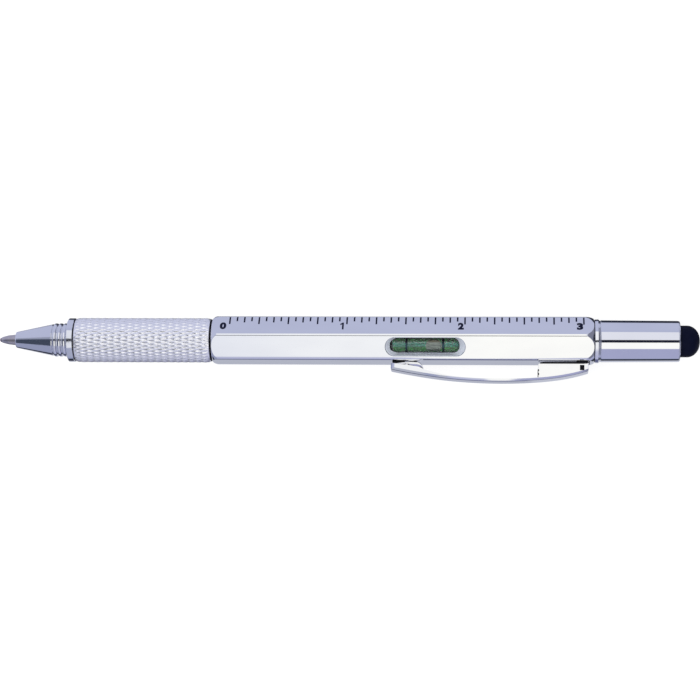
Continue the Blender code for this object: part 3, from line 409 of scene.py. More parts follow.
class Paint(Nodes):
    """A material under construction, with its Principled shader."""

    def __init__(self, name, **values):
        self.material = bpy.data.materials.new(name)
        self.material.use_nodes = True
        super().__init__(self.material.node_tree)
        self.shader = self.tree.nodes["Principled BSDF"]
        self.places = self.tree.nodes.new("ShaderNodeTexCoord").outputs["Object"]
        for socket, value in values.items():
            self.shader.inputs[socket.replace("_", " ")].default_value = value

    def stretched(self, *scale):
        inputs = {"Scale": scale, "Vector": self.places}
        return self.add("ShaderNodeMapping", inputs).outputs["Vector"]

    def noise(self, size_mm, detail, places=None):
        """Soft noise whose features are about size_mm wide."""
        scale = 1 / (size_mm * MM)
        inputs = {"Scale": scale, "Detail": detail, "Vector": places or self.places}
        return self.add("ShaderNodeTexNoise", inputs).outputs["Fac"]

    def spread(self, noise, low, high):
        """Values from low to high over the range that most of a noise takes."""
        return self.ranged(noise, 0.3, 0.7, low, high)

    def mottled(self, noise, first, second):
        return self.mix(self.spread(noise, 0.0, 1.0), first, second)

    def graded(self, reach_mm, stops):
        """A colour that changes across the pen, from -reach_mm to reach_mm along Y."""
        reach = reach_mm * MM
        return self.ramp(self.ranged(self.split(self.places)["Y"], -reach, reach), stops)

    def from_axis(self):
        """Distance from the pen's axis, in metres."""
        _, y, z = self.split(self.places)
        inputs = {"X": y, "Y": self.math("SUBTRACT", z, AXIS_Z * MM)}
        across = self.add("ShaderNodeCombineXYZ", inputs).outputs["Vector"]
        return self.add("ShaderNodeVectorMath", {0: across}, operation="LENGTH").outputs["Value"]

    def finished(self, colour, grain, roughness, haze, relief, depth_mm, strength=0.5):
        """Give colour, roughness that a grain raises by haze, and the bumps of a relief."""
        bump = {"Strength": strength, "Distance": depth_mm * MM, "Height": relief}
        for socket, value in (
            ("Base Color", colour),
            ("Roughness", self.spread(grain, roughness, roughness + haze)),
            ("Normal", self.add("ShaderNodeBump", bump).outputs["Normal"]),
        ):
            self.tree.links.new(value, self.shader.inputs[socket])
        return self.material


def chrome(name, colour, dull, roughness, haze, wave_mm=0.0003):
    """Bright plating: faint smears of haze, and the slow waves of the moulding under it."""
    paint = Paint(name, Metallic=1.0)
    smear = paint.noise(5.0, 5.0, paint.stretched(0.35, 1.0, 1.0))
    haze_noise, waves = paint.noise(1.6, 6.0), paint.noise(2.2, 2.0)
    return paint.finished(
        paint.mottled(smear, colour, dull), haze_noise, roughness, haze, waves, wave_mm
    )


def brushed(name, colour, dull, roughness, grain_mm=0.06):
    """Turned steel, with fine rings round the axis."""
    paint = Paint(name, Metallic=1.0)
    rings = paint.noise(grain_mm, 4.0, paint.stretched(1.0, 0.06, 0.06))
    mottle = paint.mottled(paint.noise(1.2, 4.0), colour, dull)
    return paint.finished(mottle, rings, roughness, 0.15, rings, 0.0015, 0.6)


def moulded(name, colour, other, roughness, grain_mm=0.08, depth_mm=0.002, gloss=0.5):
    """Moulded plastic or rubber with a fine grain."""
    paint = Paint(name, Specular_IOR_Level=gloss)
    mottle = paint.mottled(paint.noise(1.5, 4.0), colour, other)
    grain = paint.noise(grain_mm, 3.0)
    return paint.finished(mottle, grain, roughness, 0.12, grain, depth_mm)


def knurled_metal(name, groove_shade, points):
    """Plated knurl, with painted shade: grooves a little darker and duller than the worn points."""
    paint = Paint(name, Metallic=0.85)
    depth = paint.ranged(paint.from_axis(), 0.00467, 0.00482)
    colour = paint.mix(depth, groove_shade, points)
    return paint.finished(colour, paint.noise(0.9, 5.0), 0.15, 0.07, paint.noise(0.12, 3.0), 0.003)


def glassy(paint, colour, roughness):
    """The finish of clear pieces and of what lies in the vial."""
    grain, waves = paint.noise(0.5, 4.0), paint.noise(1.2, 2.0)
    return paint.finished(colour, grain, roughness, 0.04, waves, 0.0004, 0.3)


def clear_plastic(name, colour, tint, roughness, see_through, refraction):
    paint = Paint(name, IOR=refraction, Transmission_Weight=see_through)
    return glassy(paint, paint.mottled(paint.noise(2.0, 3.0), colour, tint), roughness)


def banded_plastic(name, reach_mm, stops, roughness, see_through, refraction):
    """Fluid, air or print in the vial, with painted shade toward its sides and a painted highlight
    across its middle.
    """
    paint = Paint(name, IOR=refraction, Transmission_Weight=see_through)
    return glassy(paint, paint.graded(reach_mm, stops), roughness)


# Fluid colours across the vial: the darkest, toward the sides, are painted shade, and the lighter
# teal in the middle is a painted highlight
FLUID_SHADE = (0.002, 0.085, 0.008)
FLUID_GREEN = (0.022, 0.21, 0.035)
FLUID_HIGHLIGHT = (0.05, 0.25, 0.19)
FLUID_PAINTED_LIGHT_STOPS = (
    (0.12, FLUID_SHADE), (0.24, FLUID_GREEN), (0.40, FLUID_GREEN), (0.48, FLUID_HIGHLIGHT),
    (0.66, FLUID_HIGHLIGHT), (0.76, FLUID_SHADE), (1.0, FLUID_SHADE),
)
# Bubble colours across the vial: dark toward its sides as painted shade, pale grey in the middle as
# a painted highlight
BUBBLE_PAINTED_LIGHT_STOPS = (
    (0.18, (0.04, 0.06, 0.05)), (0.27, (0.05, 0.07, 0.06)), (0.33, (0.25, 0.29, 0.25)),
    (0.66, (0.30, 0.33, 0.29)), (0.74, (0.14, 0.12, 0.07)), (1.0, (0.09, 0.08, 0.045)),
)
# Colours across the vial's printed lines: black toward the sides, with a painted highlight of
# blue-green in the middle
BAND_PAINTED_LIGHT_STOPS = (
    (0.1, (0.004, 0.006, 0.006)), (0.36, (0.012, 0.03, 0.03)), (0.5, (0.03, 0.06, 0.08)),
    (0.64, (0.02, 0.04, 0.05)), (0.74, (0.003, 0.004, 0.006)),
)

BRIGHT, BRIGHT_DULL = (0.92, 0.925, 0.945), (0.87, 0.875, 0.90)

# Each look: its slot and its material
LOOKS = {
    "barrel": ("chrome_barrel", chrome(
        "barrel_plating", (0.93, 0.935, 0.95), (0.88, 0.885, 0.91), 0.045, 0.035
    )),
    "trim": ("chrome_trim", chrome("trim_plating", BRIGHT, BRIGHT_DULL, 0.08, 0.04)),
    "cap": ("chrome_cap", chrome(
        "cap_plating", (0.93, 0.935, 0.955), (0.88, 0.885, 0.91), 0.035, 0.03
    )),
    "clip": ("chrome_clip", chrome("clip_plating", BRIGHT, BRIGHT_DULL, 0.05, 0.04, 0.0004)),
    # The knurl's grooves are painted darker and bluer than its points, as painted shade
    "knurl": ("knurled_chrome", knurled_metal(
        "knurled_plating", (0.88, 0.88, 0.935), (1.0, 0.995, 1.0)
    )),
    "refill": ("refill_metal", brushed(
        "refill_metal", (0.70, 0.65, 0.66), (0.60, 0.55, 0.56), 0.26
    )),
    "ball": ("ball_metal", brushed("ball_metal", (0.42, 0.40, 0.40), (0.33, 0.31, 0.31), 0.12)),
    "print": ("black_plastic", moulded(
        "ruler_ink", (0.004, 0.005, 0.020), (0.007, 0.009, 0.030), 0.5, 0.05, 0.0008, 0.08
    )),
    "black": ("black_plastic", moulded(
        "black_plastic", (0.004, 0.004, 0.006), (0.008, 0.008, 0.011), 0.4, 0.08, 0.002, 0.12
    )),
    "grey": ("grey_plastic", moulded(
        "grey_plastic", (0.50, 0.53, 0.60), (0.44, 0.47, 0.54), 0.35, 0.15, 0.003
    )),
    "clear": ("clear_vial", clear_plastic(
        "clear_acrylic", (0.95, 0.99, 0.96), (0.90, 0.97, 0.92), 0.01, 0.97, 1.25
    )),
    # The vial's fluid, bubble and printed lines carry painted shade toward their sides and a
    # painted highlight in their middle
    "fluid": ("green_fluid", banded_plastic("green_fluid", 1.9, FLUID_PAINTED_LIGHT_STOPS, 0.03, 0.1, 1.15)),
    "bubble": ("bubble", banded_plastic("bubble_air", 1.9, BUBBLE_PAINTED_LIGHT_STOPS, 0.06, 0.05, 1.2)),
    "band": ("black_plastic", banded_plastic("vial_print", 2.0, BAND_PAINTED_LIGHT_STOPS, 0.3, 0.0, 1.2)),
    "rubber": ("stylus_rubber", moulded(
        "stylus_rubber", (0.0015, 0.0025, 0.012), (0.0025, 0.004, 0.017), 0.42, 0.10, 0.002, 0.07
    )),
    "seal": ("seal_rubber", moulded(
        "seal_rubber", (0.03, 0.03, 0.032), (0.045, 0.045, 0.048), 0.55
    )),
}
BLACK = LOOKS["black"][1]
STEEL = brushed("plated_steel", (0.72, 0.72, 0.73), (0.60, 0.60, 0.62), 0.22)
TOOL = brushed("tool_steel", (0.50, 0.50, 0.52), (0.38, 0.38, 0.41), 0.28, 0.09)
TUBE = clear_plastic("refill_plastic", (0.85, 0.87, 0.90), (0.80, 0.82, 0.86), 0.12, 0.6, 1.45)
INK = moulded("writing_ink", (0.012, 0.012, 0.018), (0.02, 0.02, 0.03), 0.3)

# Nodes that keep their CAD shape
PLAIN_NODES = (
    (BLACK, ("front_bush", "cam_sleeve", "refill_carrier", "stylus_holder")),
    (STEEL, ("bit_holder", "rotor_tube", "retaining_ring", "drive_pin")),
    (TOOL, ("screwdriver_bit",)),
    (TUBE, ("refill_tube",)),
    (INK, ("ink_column",)),
)


def dress_nodes():
    for material, names in PLAIN_NODES:
        for name in names:
            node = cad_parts[name]
            node.data.materials.clear()
            node.data.materials.append(material)


# Barrel

BORE = 3.7
END_CUT = 0.62
FACE_CUT = 0.4
FRONT_ROUND = 1.9
REAR_ROUND = 2.2
SLOT_HALF = 1.85

WINDOW_FRONT = VIAL_X[0] - 1.4
WINDOW_REAR = WINDOW_FRONT + 17.4
WINDOW_HALF = 2.2
LIP = 0.13


def end_round(end, inward, depth, face=0.0):
    """The turned rounding at one end of the barrel, from the end face inward."""
    points = []
    for share in shares(24):
        share **= 1.5
        cut = END_CUT * (1 - share) ** 2 + face * (1 - share) ** 4
        points.append((end + inward * depth * share, CORNER_REACH + 0.02 - cut))
    return points


def slot_outline(front, rear, half_width):
    """A slot with round ends, as (x, y) points."""
    points = []
    for centre, start in ((rear - half_width, -math.pi / 2), (front + half_width, math.pi / 2)):
        for share in shares(24):
            turn = start + math.pi * share
            points.append((centre + half_width * math.cos(turn), half_width * math.sin(turn)))
    return points


def window_ring(inward, more, height):
    """The level window's outline, drawn in by inward, and by more on top of that at its ends."""
    ends = inward + more
    outline = slot_outline(WINDOW_FRONT + ends, WINDOW_REAR - ends, WINDOW_HALF - inward)
    return at_height(outline, height)


def window_cutter():
    """The level window, with a rounded lip where it meets the facet."""
    levels = [(LIP, 1.0), (LIP, APOTHEM - LIP)]
    for share in shares(6)[1:-1]:
        turn = math.pi / 2 * share
        levels.append((LIP * math.cos(turn), APOTHEM - LIP + LIP * math.sin(turn)))
    levels += [(-0.15 * LIP, APOTHEM + 0.02), (-0.2 * LIP, APOTHEM + 0.6)]
    return solid("window_cutter", [window_ring(inward, 0.0, height) for inward, height in levels])


def make_barrel():
    front, rear = BARREL_X[0], BARREL_X[1] - END_SHIFT
    barrel = prism("barrel", hexagon(), front - 0.5, rear + 0.5)
    envelope = [(front, 0), *end_round(front, 1, FRONT_ROUND, FACE_CUT)]
    envelope += [*end_round(rear, -1, REAR_ROUND)[::-1], (rear, 0)]
    combine(barrel, lathe("barrel_ends", envelope, 192), "INTERSECT")
    combine(barrel, window_cutter())
    leg = CLIP_X[1]
    slot = box("clip_slot", (leg - 1.2, -SLOT_HALF, 2.4), (leg + 0.3, SLOT_HALF, 6.0))
    combine(barrel, turned(slot, CLIP_FACET))
    before, behind = front - 1, rear + 1
    combine(barrel, lathe("bore", [(before, 0), (before, BORE), (behind, BORE), (behind, 0)]))
    publish(barrel, "barrel", "barrel", ["hex_barrel"])


# Ruler print

INCH = 25.4
INCH_ZERO = -37.22
INCH_MARKS = 49
CENTIMETRE_ZERO = -39.0
CENTIMETRE_MARKS = 79
# Where the marks start, across the facet from its middle
MARK_TOP = 2.42
MARK_STEPS = 24
# How often a mark of each length comes, the longest first
INCH_LENGTHS = ((4, 2.14), (2, 1.64), (1, 1.28))
CENTIMETRE_LENGTHS = ((10, 2.1), (5, 1.7), (1, 1.25))
PRINT_LIFT = 0.008
PRINT_THICKNESS = 0.004

# Each inch number: its text, place from its mark and width
INCH_NUMBERS = (("0", -1.38, 1.42), ("1", -1.03, 0.78), ("2", -0.86, 1.28), ("3", -0.85, 1.35))

# The figure one, in shares of its width and height
ONE = ((0.52, 0.0), (1.0, 0.0), (1.0, 1.0), (0.62, 1.0), (0.0, 0.80), (0.0, 0.62), (0.52, 0.74))


def tick_marks(name, facet, start, pitch, count, lengths, width):
    """Thin marks printed across a facet."""
    points = []
    faces = []
    for number in range(count):
        along = start + pitch * number
        length = next(length for every, length in lengths if number % every == 0)
        for share in shares(MARK_STEPS):
            y, z = facet_point(MARK_TOP - length * share, PRINT_LIFT)
            points += [(along - width / 2, y, z), (along + width / 2, y, z)]
        first = len(points) - 2 * (MARK_STEPS + 1)
        for low in range(first, first + 2 * MARK_STEPS, 2):
            faces.append([low, low + 1, low + 3, low + 2])
    marks = turned(mesh_object(name, points, faces), -facet)
    step = marks.modifiers.new("thickness", "SOLIDIFY")
    step.thickness = PRINT_THICKNESS
    step.offset = 0
    publish(marks, "barrel", "print")


def figure(name, text):
    """A number as a flat object of its own size. The one has no foot."""
    thin = 0.01
    if text == "1":
        return drawn_out(name, *(at_height(ONE, height) for height in (-thin, thin)))
    curve = bpy.data.curves.new(name, "FONT")
    curve.body = text
    curve.offset = 0.065
    curve.resolution_u = 6
    curve.extrude = thin
    return link(name, curve)


def numeral(name, text, facet, centre_x, centre_across, width, height):
    """One printed number lying on a facet, upright toward the facet's outer edge."""
    source = figure(name + "_text", text)
    mesh = evaluated(source, False)
    bpy.data.objects.remove(source, do_unlink=True)
    corners = np.array([point.co for point in mesh.vertices])
    low, high = corners.min(0), corners.max(0)
    middle = (low + high) / 2
    fit = Matrix.Diagonal((width / (high[0] - low[0]), height / (high[1] - low[1]), 0.3, 1))
    place = Matrix.Translation((centre_x, centre_across, APOTHEM + PRINT_LIFT))
    mesh.transform(place @ fit @ Matrix.Translation((-middle[0], -middle[1], 0)))
    publish(turned(link(name, mesh), -facet), "barrel", "print")


def make_inch_ruler():
    tick_marks("inch_marks", INCH_FACET, INCH_ZERO, INCH / 16, INCH_MARKS, INCH_LENGTHS, 0.34)
    for place, (text, offset, width) in enumerate(INCH_NUMBERS):
        along = INCH_ZERO + INCH * place + offset
        numeral("inch_number_" + text, text, INCH_FACET, along, -0.26, width, 2.05)


def make_centimetre_ruler():
    facet, start = CENTIMETRE_FACET, CENTIMETRE_ZERO
    tick_marks("centimetre_marks", facet, start, 1.0, CENTIMETRE_MARKS, CENTIMETRE_LENGTHS, 0.18)
    for place in range(8):
        text = str(place)
        width = 0.6 if text == "1" else 1.05
        along = start + 10 * place + 0.95
        numeral("centimetre_number_" + text, text, facet, along, -0.2, width, 1.6)


# Level

HOLLOW = 1.84
BAND_HALF = 0.21
BAND_IN, BAND_OUT = 1.98, 2.03
BUBBLE_OUTER = HOLLOW + 0.045
BUBBLE_HALF = 1.22
BUBBLE_DEPTH = 0.75
BED_RADIUS = 3.64
SHELF = 3.2
# The thin wall that lines the window: inward from its edge, more of that at its ends, height
RIM_SECTION = (
    (0.135, 0.0, SHELF - 0.2), (0.135, 0.0, 4.56), (0.14, 0.0, 4.64), (0.18, 0.0, 4.66),
    (0.23, 0.05, 4.60), (0.26, 0.2, 4.45), (0.30, 1.3, 3.3), (0.30, 1.3, SHELF - 0.2),
)


def vial_solid(name, front, rear, radius, front_round, rear_round):
    corners = [(front, radius, front_round), (rear, radius, rear_round)]
    outline = rounded([(front, 0, 0), *corners, (rear, 0, 0)], step=10)
    return lathe(name, outline, 72, lift=VIAL_LIFT)


def make_level():
    front, rear = VIAL_X
    shell = vial_solid("level_tube", front, rear, 2.0, 0.3, 1.0)
    combine(shell, vial_solid("level_hollow", front + 0.22, rear - 0.14, HOLLOW, 0.3, 0.9))
    publish(shell, "barrel", "clear", ["vial_tube", "vial_plug"])
    fluid = vial_solid("level_fluid", front + 0.23, rear - 0.15, HOLLOW - 0.01, 0.3, 0.9)
    publish(fluid, "barrel", "fluid", ["vial_fluid"])
    for side in ("left", "right"):
        node = "vial_line_" + side
        middle = sum(span(node)) / 2
        low, high = middle - BAND_HALF, middle + BAND_HALF
        ring = [(low, BAND_IN), (low, BAND_OUT), (high, BAND_OUT), (high, BAND_IN)]
        band = lathe("level_line_" + side, ring, 72, closed=True, lift=VIAL_LIFT)
        publish(band, "barrel", "band", [node])
    publish(bubble_mesh(*span("level_bubble")), "bubble", "bubble", ["level_bubble"])


def bubble_mesh(front, rear):
    """The bubble under the vial's top: a long flattened drop that follows the vial's bore."""
    rings = []
    middle = (front + rear) / 2
    half = (rear - front) / 2
    for place in shares(14):
        share = 2 * place - 1
        along = middle + half * share
        swell = max(0.0, 1 - abs(share) ** 3.2) ** 0.5
        ring = []
        for around in shares(28)[:-1]:
            turn = 2 * math.pi * around
            width = BUBBLE_HALF * swell * math.sin(turn)
            radial = BUBBLE_OUTER - BUBBLE_DEPTH * swell * max(0.0, -math.cos(turn))
            lean = math.asin(width / BUBBLE_OUTER)
            ring.append((along, radial * math.sin(lean), VIAL_LIFT + radial * math.cos(lean)))
        rings.append(ring if swell > 0.001 else [(along, 0, VIAL_LIFT + BUBBLE_OUTER)])
    return skin("bubble_air", rings)


def make_cradle():
    front, rear = span("level_cradle")
    outline = [(front, 0, 0), (front, BED_RADIUS, 0.15), (rear, BED_RADIUS, 0.15), (rear, 0, 0)]
    cradle = lathe("level_bed", rounded(outline))
    combine(cradle, box("pocket", (WINDOW_FRONT - 0.05, -5, SHELF), (WINDOW_REAR + 0.05, 5, 6)))
    rings = [window_ring(*row) for row in RIM_SECTION]
    combine(cradle, skin("rim_wall", rings, closed=True), "UNION")
    combine(cradle, vial_solid("groove", VIAL_X[0] - 0.35, VIAL_X[1] + 0.08, 2.04, 0.3, 1.0))
    publish(cradle, "barrel", "grey", ["level_cradle"])


# Grip, nose and refill

GRIP_OUTER = 4.83
GRIP_EDGE = 0.24
KNURL_COUNT = 35
KNURL_LENGTH = 2.96
KNURL_DEPTH = 0.17
KNURL_STEPS = 8
# Above 1, the knurl's points are worn flat
KNURL_WEAR = 1.15

# Points from the nose's tip: place, radius, rounding
NOSE_CONE = (
    (2.9, 1.22, 0), (0.25, 1.22, 0), (0.12, 1.32, 0.05), (0.12, 1.68, 0.06), (0.3, 1.77, 0.15),
    (8.32, 3.45, 0.12), (8.46, 3.25, 0.05),
)
NOSE_FLANGE = ((11.72, 3.22, 0.03), (11.77, 4.5, 0.06), (11.92, 4.75, 0.12))
NOSE_INSIDE = ((17.58, 3.6, 0.2), (17.58, 2.3, 0.1), (4.0, 2.2, 0))
# Points from the flange's rear face
FLANGE_REAR = (
    (-0.08, 4.75, 0.08), (0.0, 4.6, 0.04), (0.0, 4.2, 0.02), (0.1, 4.15, 0.02), (0.1, 3.6, 0.1),
)
BEAD_COUNT = 3
BEAD_START = 9.0
BEAD_PITCH = 1.04
BEAD_HALF = 0.44

# Points from the refill's front and from its rear end
POINT_FRONT = (
    (0.0, 0.47, 0), (0.0, 0.54, 0.02), (0.55, 0.74, 0.15), (1.5, 0.98, 0.4), (3.4, 1.175, 0.6),
    (8.5, 1.175, 0.1), (8.55, 0.8, 0.05),
)
POINT_REAR = ((0.0, 0.8, 0), (0.0, 0.3, 0))
POINT_BORE = ((0.6, 0.3, 0),)


def shifted(start, points):
    """Move the points of an outline along X."""
    return [(start + point[0], *point[1:]) for point in points]


def knurl_height(turns, advance):
    """Height share of the diamond knurl, from 0 in the grooves to 1 on the points."""
    first = 1 - abs(2 * ((advance + turns) % 1.0) - 1)
    second = 1 - abs(2 * ((advance - turns) % 1.0) - 1)
    return min(first, second)


def make_grip():
    front, rear = GRIP_X[0] + SEAM_SHIFT, GRIP_X[1] + 0.16
    root = GRIP_OUTER - KNURL_DEPTH
    rim = GRIP_OUTER - GRIP_EDGE
    around = KNURL_COUNT * KNURL_STEPS
    pitch = KNURL_LENGTH / KNURL_STEPS
    count = int((rear - front - 0.3) / pitch)
    start = (front + rear) / 2 - pitch * count / 2
    before = ((front, BORE), (front, rim), (front + 0.1, root))
    rings = [circle(along, radius, around) for along, radius in before]
    for row in range(count + 1):
        along = start + pitch * row
        edge = min(1, row, count - row)
        ring = []
        for index in range(around):
            turn = 2 * math.pi * index / around
            share = min(1.0, KNURL_WEAR * knurl_height(index / KNURL_STEPS, row / KNURL_STEPS))
            radius = root + KNURL_DEPTH * share * edge
            ring.append((along, radius * math.sin(turn), radius * math.cos(turn)))
        rings.append(ring)
    for along, radius in ((rear - 0.1, root), (rear, rim), (rear, 3.2)):
        rings.append(circle(along, radius, around))
    sleeve = skin("grip", rings, closed=True)
    edit_mesh(sleeve.data, lambda shape: split_diagonals(shape, around, len(before), count))
    publish(sleeve, "grip", "knurl", ["grip_sleeve"], sharp=60)


def split_diagonals(shape, around, first_row, count):
    """Cut the knurl's squares so that the grooves run along edges."""
    first, last = first_row * around, (first_row + count) * around
    verts = list(shape.verts)[first:]
    for number, face in enumerate(list(shape.faces)[first:last]):
        row, column = divmod(number, around)
        after = (column + 1) % around
        groove = (row + column + 1) % KNURL_STEPS == 0
        ends = (around + column, after) if groove else (column, around + after)
        bmesh.utils.face_split(face, *(verts[row * around + end] for end in ends))


def make_nose():
    start = NOSE_X[0]
    flange_rear = GRIP_X[0] + SEAM_SHIFT - 0.19
    outline = shifted(start, NOSE_CONE)
    for bead in range(BEAD_COUNT):
        middle = start + BEAD_START + BEAD_PITCH * bead
        for share in shares(12):
            turn = math.pi * share
            along = middle - BEAD_HALF * math.cos(turn)
            outline.append((along, 3.27 + 0.36 * math.sin(turn) ** 0.6, 0))
    outline += shifted(start, NOSE_FLANGE)
    outline += shifted(flange_rear, FLANGE_REAR)
    outline += shifted(start, NOSE_INSIDE)
    publish(turned_ring("nose", outline), "grip", "trim", ["nose_cone"])


def make_refill_tip():
    front, rear = span("refill_tip")
    outline = shifted(front, POINT_FRONT) + shifted(rear, POINT_REAR) + shifted(front, POINT_BORE)
    publish(turned_ring("refill_point", outline, 64), "refill", "refill", ["refill_tip"])
    front, rear = span("tip_ball")
    middle, radius = (front + rear) / 2, (rear - front) / 2
    arc = []
    for share in shares(16)[1:-1]:
        turn = math.pi * share
        arc.append((middle - radius * math.cos(turn), radius * math.sin(turn)))
    ball = lathe("writing_ball", [(front, 0), *arc, (rear, 0)], 48)
    publish(ball, "refill", "ball", ["tip_ball"])


# Cap, collar and stylus

# Points from an end: place, radius, rounding
COLLAR_FRONT = ((0.0, 3.36, 0), (0.0, 4.05, 0.03), (0.13, 4.1, 0.03), (0.13, 4.66, 0.06))
COLLAR_REAR = ((-0.25, 4.7, 0.03), (-0.04, 4.58, 0.02), (0.0, 4.5, 0.02), (0.0, 3.36, 0))
CAP_FRONT = ((0.0, 3.6, 0.1), (0.0, 4.4, 0.05), (0.12, 4.5, 0.06))
CAP_REAR = (
    (-0.34, 4.4, 0.05), (-0.26, 4.31, 0.03), (-0.18, 4.37, 0.04), (0.0, 4.25, 0.06),
    (0.0, 3.5, 0.06),
)
CAP_MOUTH = ((1.8, 3.5, 0), (1.8, 3.8, 0), (0.6, 3.8, 0), (0.6, 3.6, 0))
SEAL_RADIUS = 3.555
SEAL_HALF = 0.19
STYLUS_RADIUS = 3.4
STYLUS_BORE = 2.3
DOME_DEPTH = 2.75


def washer(name, body, front, rear, bore, radius):
    """A thin black ring that shows in the seam between two turned pieces."""
    ring = lathe(name, [(front, bore), (front, radius), (rear, radius), (rear, bore)], closed=True)
    publish(ring, body, "black")


def make_cap_end():
    front, rear = COLLAR_X[0] - END_SHIFT, COLLAR_X[1]
    outline = shifted(front, COLLAR_FRONT) + shifted(rear, COLLAR_REAR)
    publish(turned_ring("collar", outline), "barrel", "trim", ["collar_ring"])
    washer("collar_washer", "barrel", front + 0.01, front + 0.16, 4.0, 4.5)
    slope = shifted(rear, [(-0.02, 3.34), (-0.02, 4.46), (0.06, 4.46)])
    slope += shifted(CAP_X[0], [(0.02, 4.34), (0.02, 3.34)])
    publish(lathe("cap_washer", slope, closed=True), "barrel", "trim")
    grip_front = GRIP_X[0] + SEAM_SHIFT
    washer("grip_washer", "grip", grip_front - 0.2, grip_front - 0.01, 4.1, 4.6)
    front, rear = CAP_X[0], CAP_X[1] - 0.1
    outline = shifted(front, CAP_FRONT) + shifted(rear, CAP_REAR) + shifted(front, CAP_MOUTH)
    publish(turned_ring("cap", outline), "stylus_cap", "cap", ["cap_tube"])
    low, high = span("cap_seal")
    middle, half = (low + high) / 2, (high - low) / 2
    loop = []
    for share in shares(16)[:-1]:
        turn = 2 * math.pi * share
        loop.append((middle + half * math.cos(turn), SEAL_RADIUS + SEAL_HALF * math.sin(turn)))
    seal = lathe("cap_ring_seal", loop, closed=True)
    publish(seal, "cap_ring", "seal", ["cap_seal"])


def make_stylus():
    front, rear = STYLUS_X
    outline = [(rear, 0)]
    for share in shares(18)[1:]:
        turn = math.pi / 2 * share
        along = rear - DOME_DEPTH * (1 - math.cos(turn))
        outline.append((along, STYLUS_RADIUS * math.sin(turn) ** 0.94))
    bottom = front + 2.9
    outline += [(front, STYLUS_RADIUS), (front, STYLUS_BORE), (bottom, STYLUS_BORE), (bottom, 0)]
    publish(lathe("stylus", outline), "stylus_cap", "rubber", ["stylus_tip"])


# Pocket clip

CLIP_RADIUS = 111.67
CLIP_CREST = 9.194
CREST_PLACE = 23.68
BEND_PLACE = 28.75
CLIP_THICKNESS = 0.52
TIP_THICKER = 0.86
TIP_DROP = 0.08
TIP_REACH = 13.0
LEG = 0.9
TOE_LOW = 2.7
BLOCK_LENGTH = 10.7
BLOCK_LOW = 0.62
HOLE = (0.86, 2.02)
HOLE_LENGTH = 0.95
# Half width of the black marks across the block's front, which are painted shade
NOTCH_SHADE_HALF = 0.14

# The outer side's fall toward the long edges, and the chamfer along them
CROWN = 0.1
TIP_CROWN = 0.05
CROWN_POWER = 10
EDGE_ACROSS = 0.27
EDGE_DROP = 0.33
CLIP_SIDE = (0.6, 0.95, 1.15, 1.28, 1.39, 1.48, 1.75)
CLIP_LAYERS = (*(-across for across in reversed(CLIP_SIDE)), 0.0, *CLIP_SIDE)

# The foot under the clip's tip: place from the tip, lowest height over the facet
FOOT_STATIONS = (
    (0.8, 0.56), (1.6, 0.40), (2.4, 0.25), (3.2, 0.13), (4.0, 0.09), (5.4, 0.09), (5.9, 0.12),
    (6.2, 0.24), (6.5, 0.50), (6.8, 0.88), (7.0, 1.25),
)
# The foot's section: half width, share of its height
FOOT_SECTION = ((1.12, 0.0), (1.3, 0.12), (1.34, 0.42), (1.71, 0.74), (1.72, 1.0))


def toward_tip(along, reach):
    """From 0 at a distance from the clip's tip to 1 near the tip, with soft ends."""
    share = max(0.0, min(1.0, (reach - along + CLIP_X[0]) / (reach - 3.5)))
    return share * share * (3 - 2 * share)


def clip_height(along, drop=0.0):
    """Height of the clip's outer side above the axis. It bends down further toward its root."""
    from_tip = along - CLIP_X[0]
    bend = 0.0002877 * max(0.0, from_tip - BEND_PLACE) ** 3
    drop += TIP_DROP * toward_tip(along, TIP_REACH)
    return CLIP_CREST - (from_tip - CREST_PLACE) ** 2 / (2 * CLIP_RADIUS) - bend - drop


def clip_under(along):
    """Height of the strip's inner side above the axis. It is thicker toward its tip."""
    return clip_height(along, CLIP_THICKNESS + TIP_THICKER * toward_tip(along, 15.0))


def along_clip(height, start, end):
    places = [start + (end - start) * share for share in shares(36)]
    return [(along, height(along), 0.0) for along in places]


def crown_drop(along, across):
    """How far the clip's outer side falls toward its long edges, which are chamfered."""
    flat = CLIP_LAYERS[-1] - EDGE_ACROSS
    crown = CROWN + TIP_CROWN * toward_tip(along, TIP_REACH)
    edge = EDGE_DROP * max(0.0, abs(across) - flat) / EDGE_ACROSS
    return crown * min(1.0, abs(across) / flat) ** CROWN_POWER + edge


def side_plate(name, outline, layers, crown=False):
    """A side view of (x, height) points drawn out across the clip, with a crown if asked."""
    rings = []
    for across in layers:
        ring = []
        for along, height in outline:
            if crown:
                height = min(height, clip_height(along) - crown_drop(along, across))
            ring.append((along, across, height))
        rings.append(ring)
    return solid(name, rings)


def clip_block(name, front, rear, low, high, half_width):
    """A block of the clip, between two heights over the facet."""
    low, high = APOTHEM + low, APOTHEM + high
    section = [(front, low), (rear, low), (rear, high), (front, high)]
    return side_plate(name, section, (-half_width, half_width))


def clip_foot(front):
    """The boat-shaped foot under the clip's free end, steep below and flared above."""
    rings = []
    for place, low in FOOT_STATIONS:
        along = front + place
        reach = clip_under(along) - APOTHEM + 0.12 - low
        near = [(along, across, APOTHEM + low + reach * share) for across, share in FOOT_SECTION]
        rings.append(near + [(along, -across, height) for _, across, height in reversed(near)])
    return solid("foot", rings)


def clip_plan(front, rear):
    """The clip seen from outside, with rounded corners at its free end, as a tall block."""
    half = CLIP_LAYERS[-1] + 0.01
    tip, root = front - 0.01, rear + 1
    corners = [(tip, -half, 1.0), (root, -half, 0), (root, half, 0), (tip, half, 1.0)]
    outline = rounded(corners, closed=True, step=6)
    return solid("clip_plan", [at_height(outline, height) for height in (1.0, 14.0)])


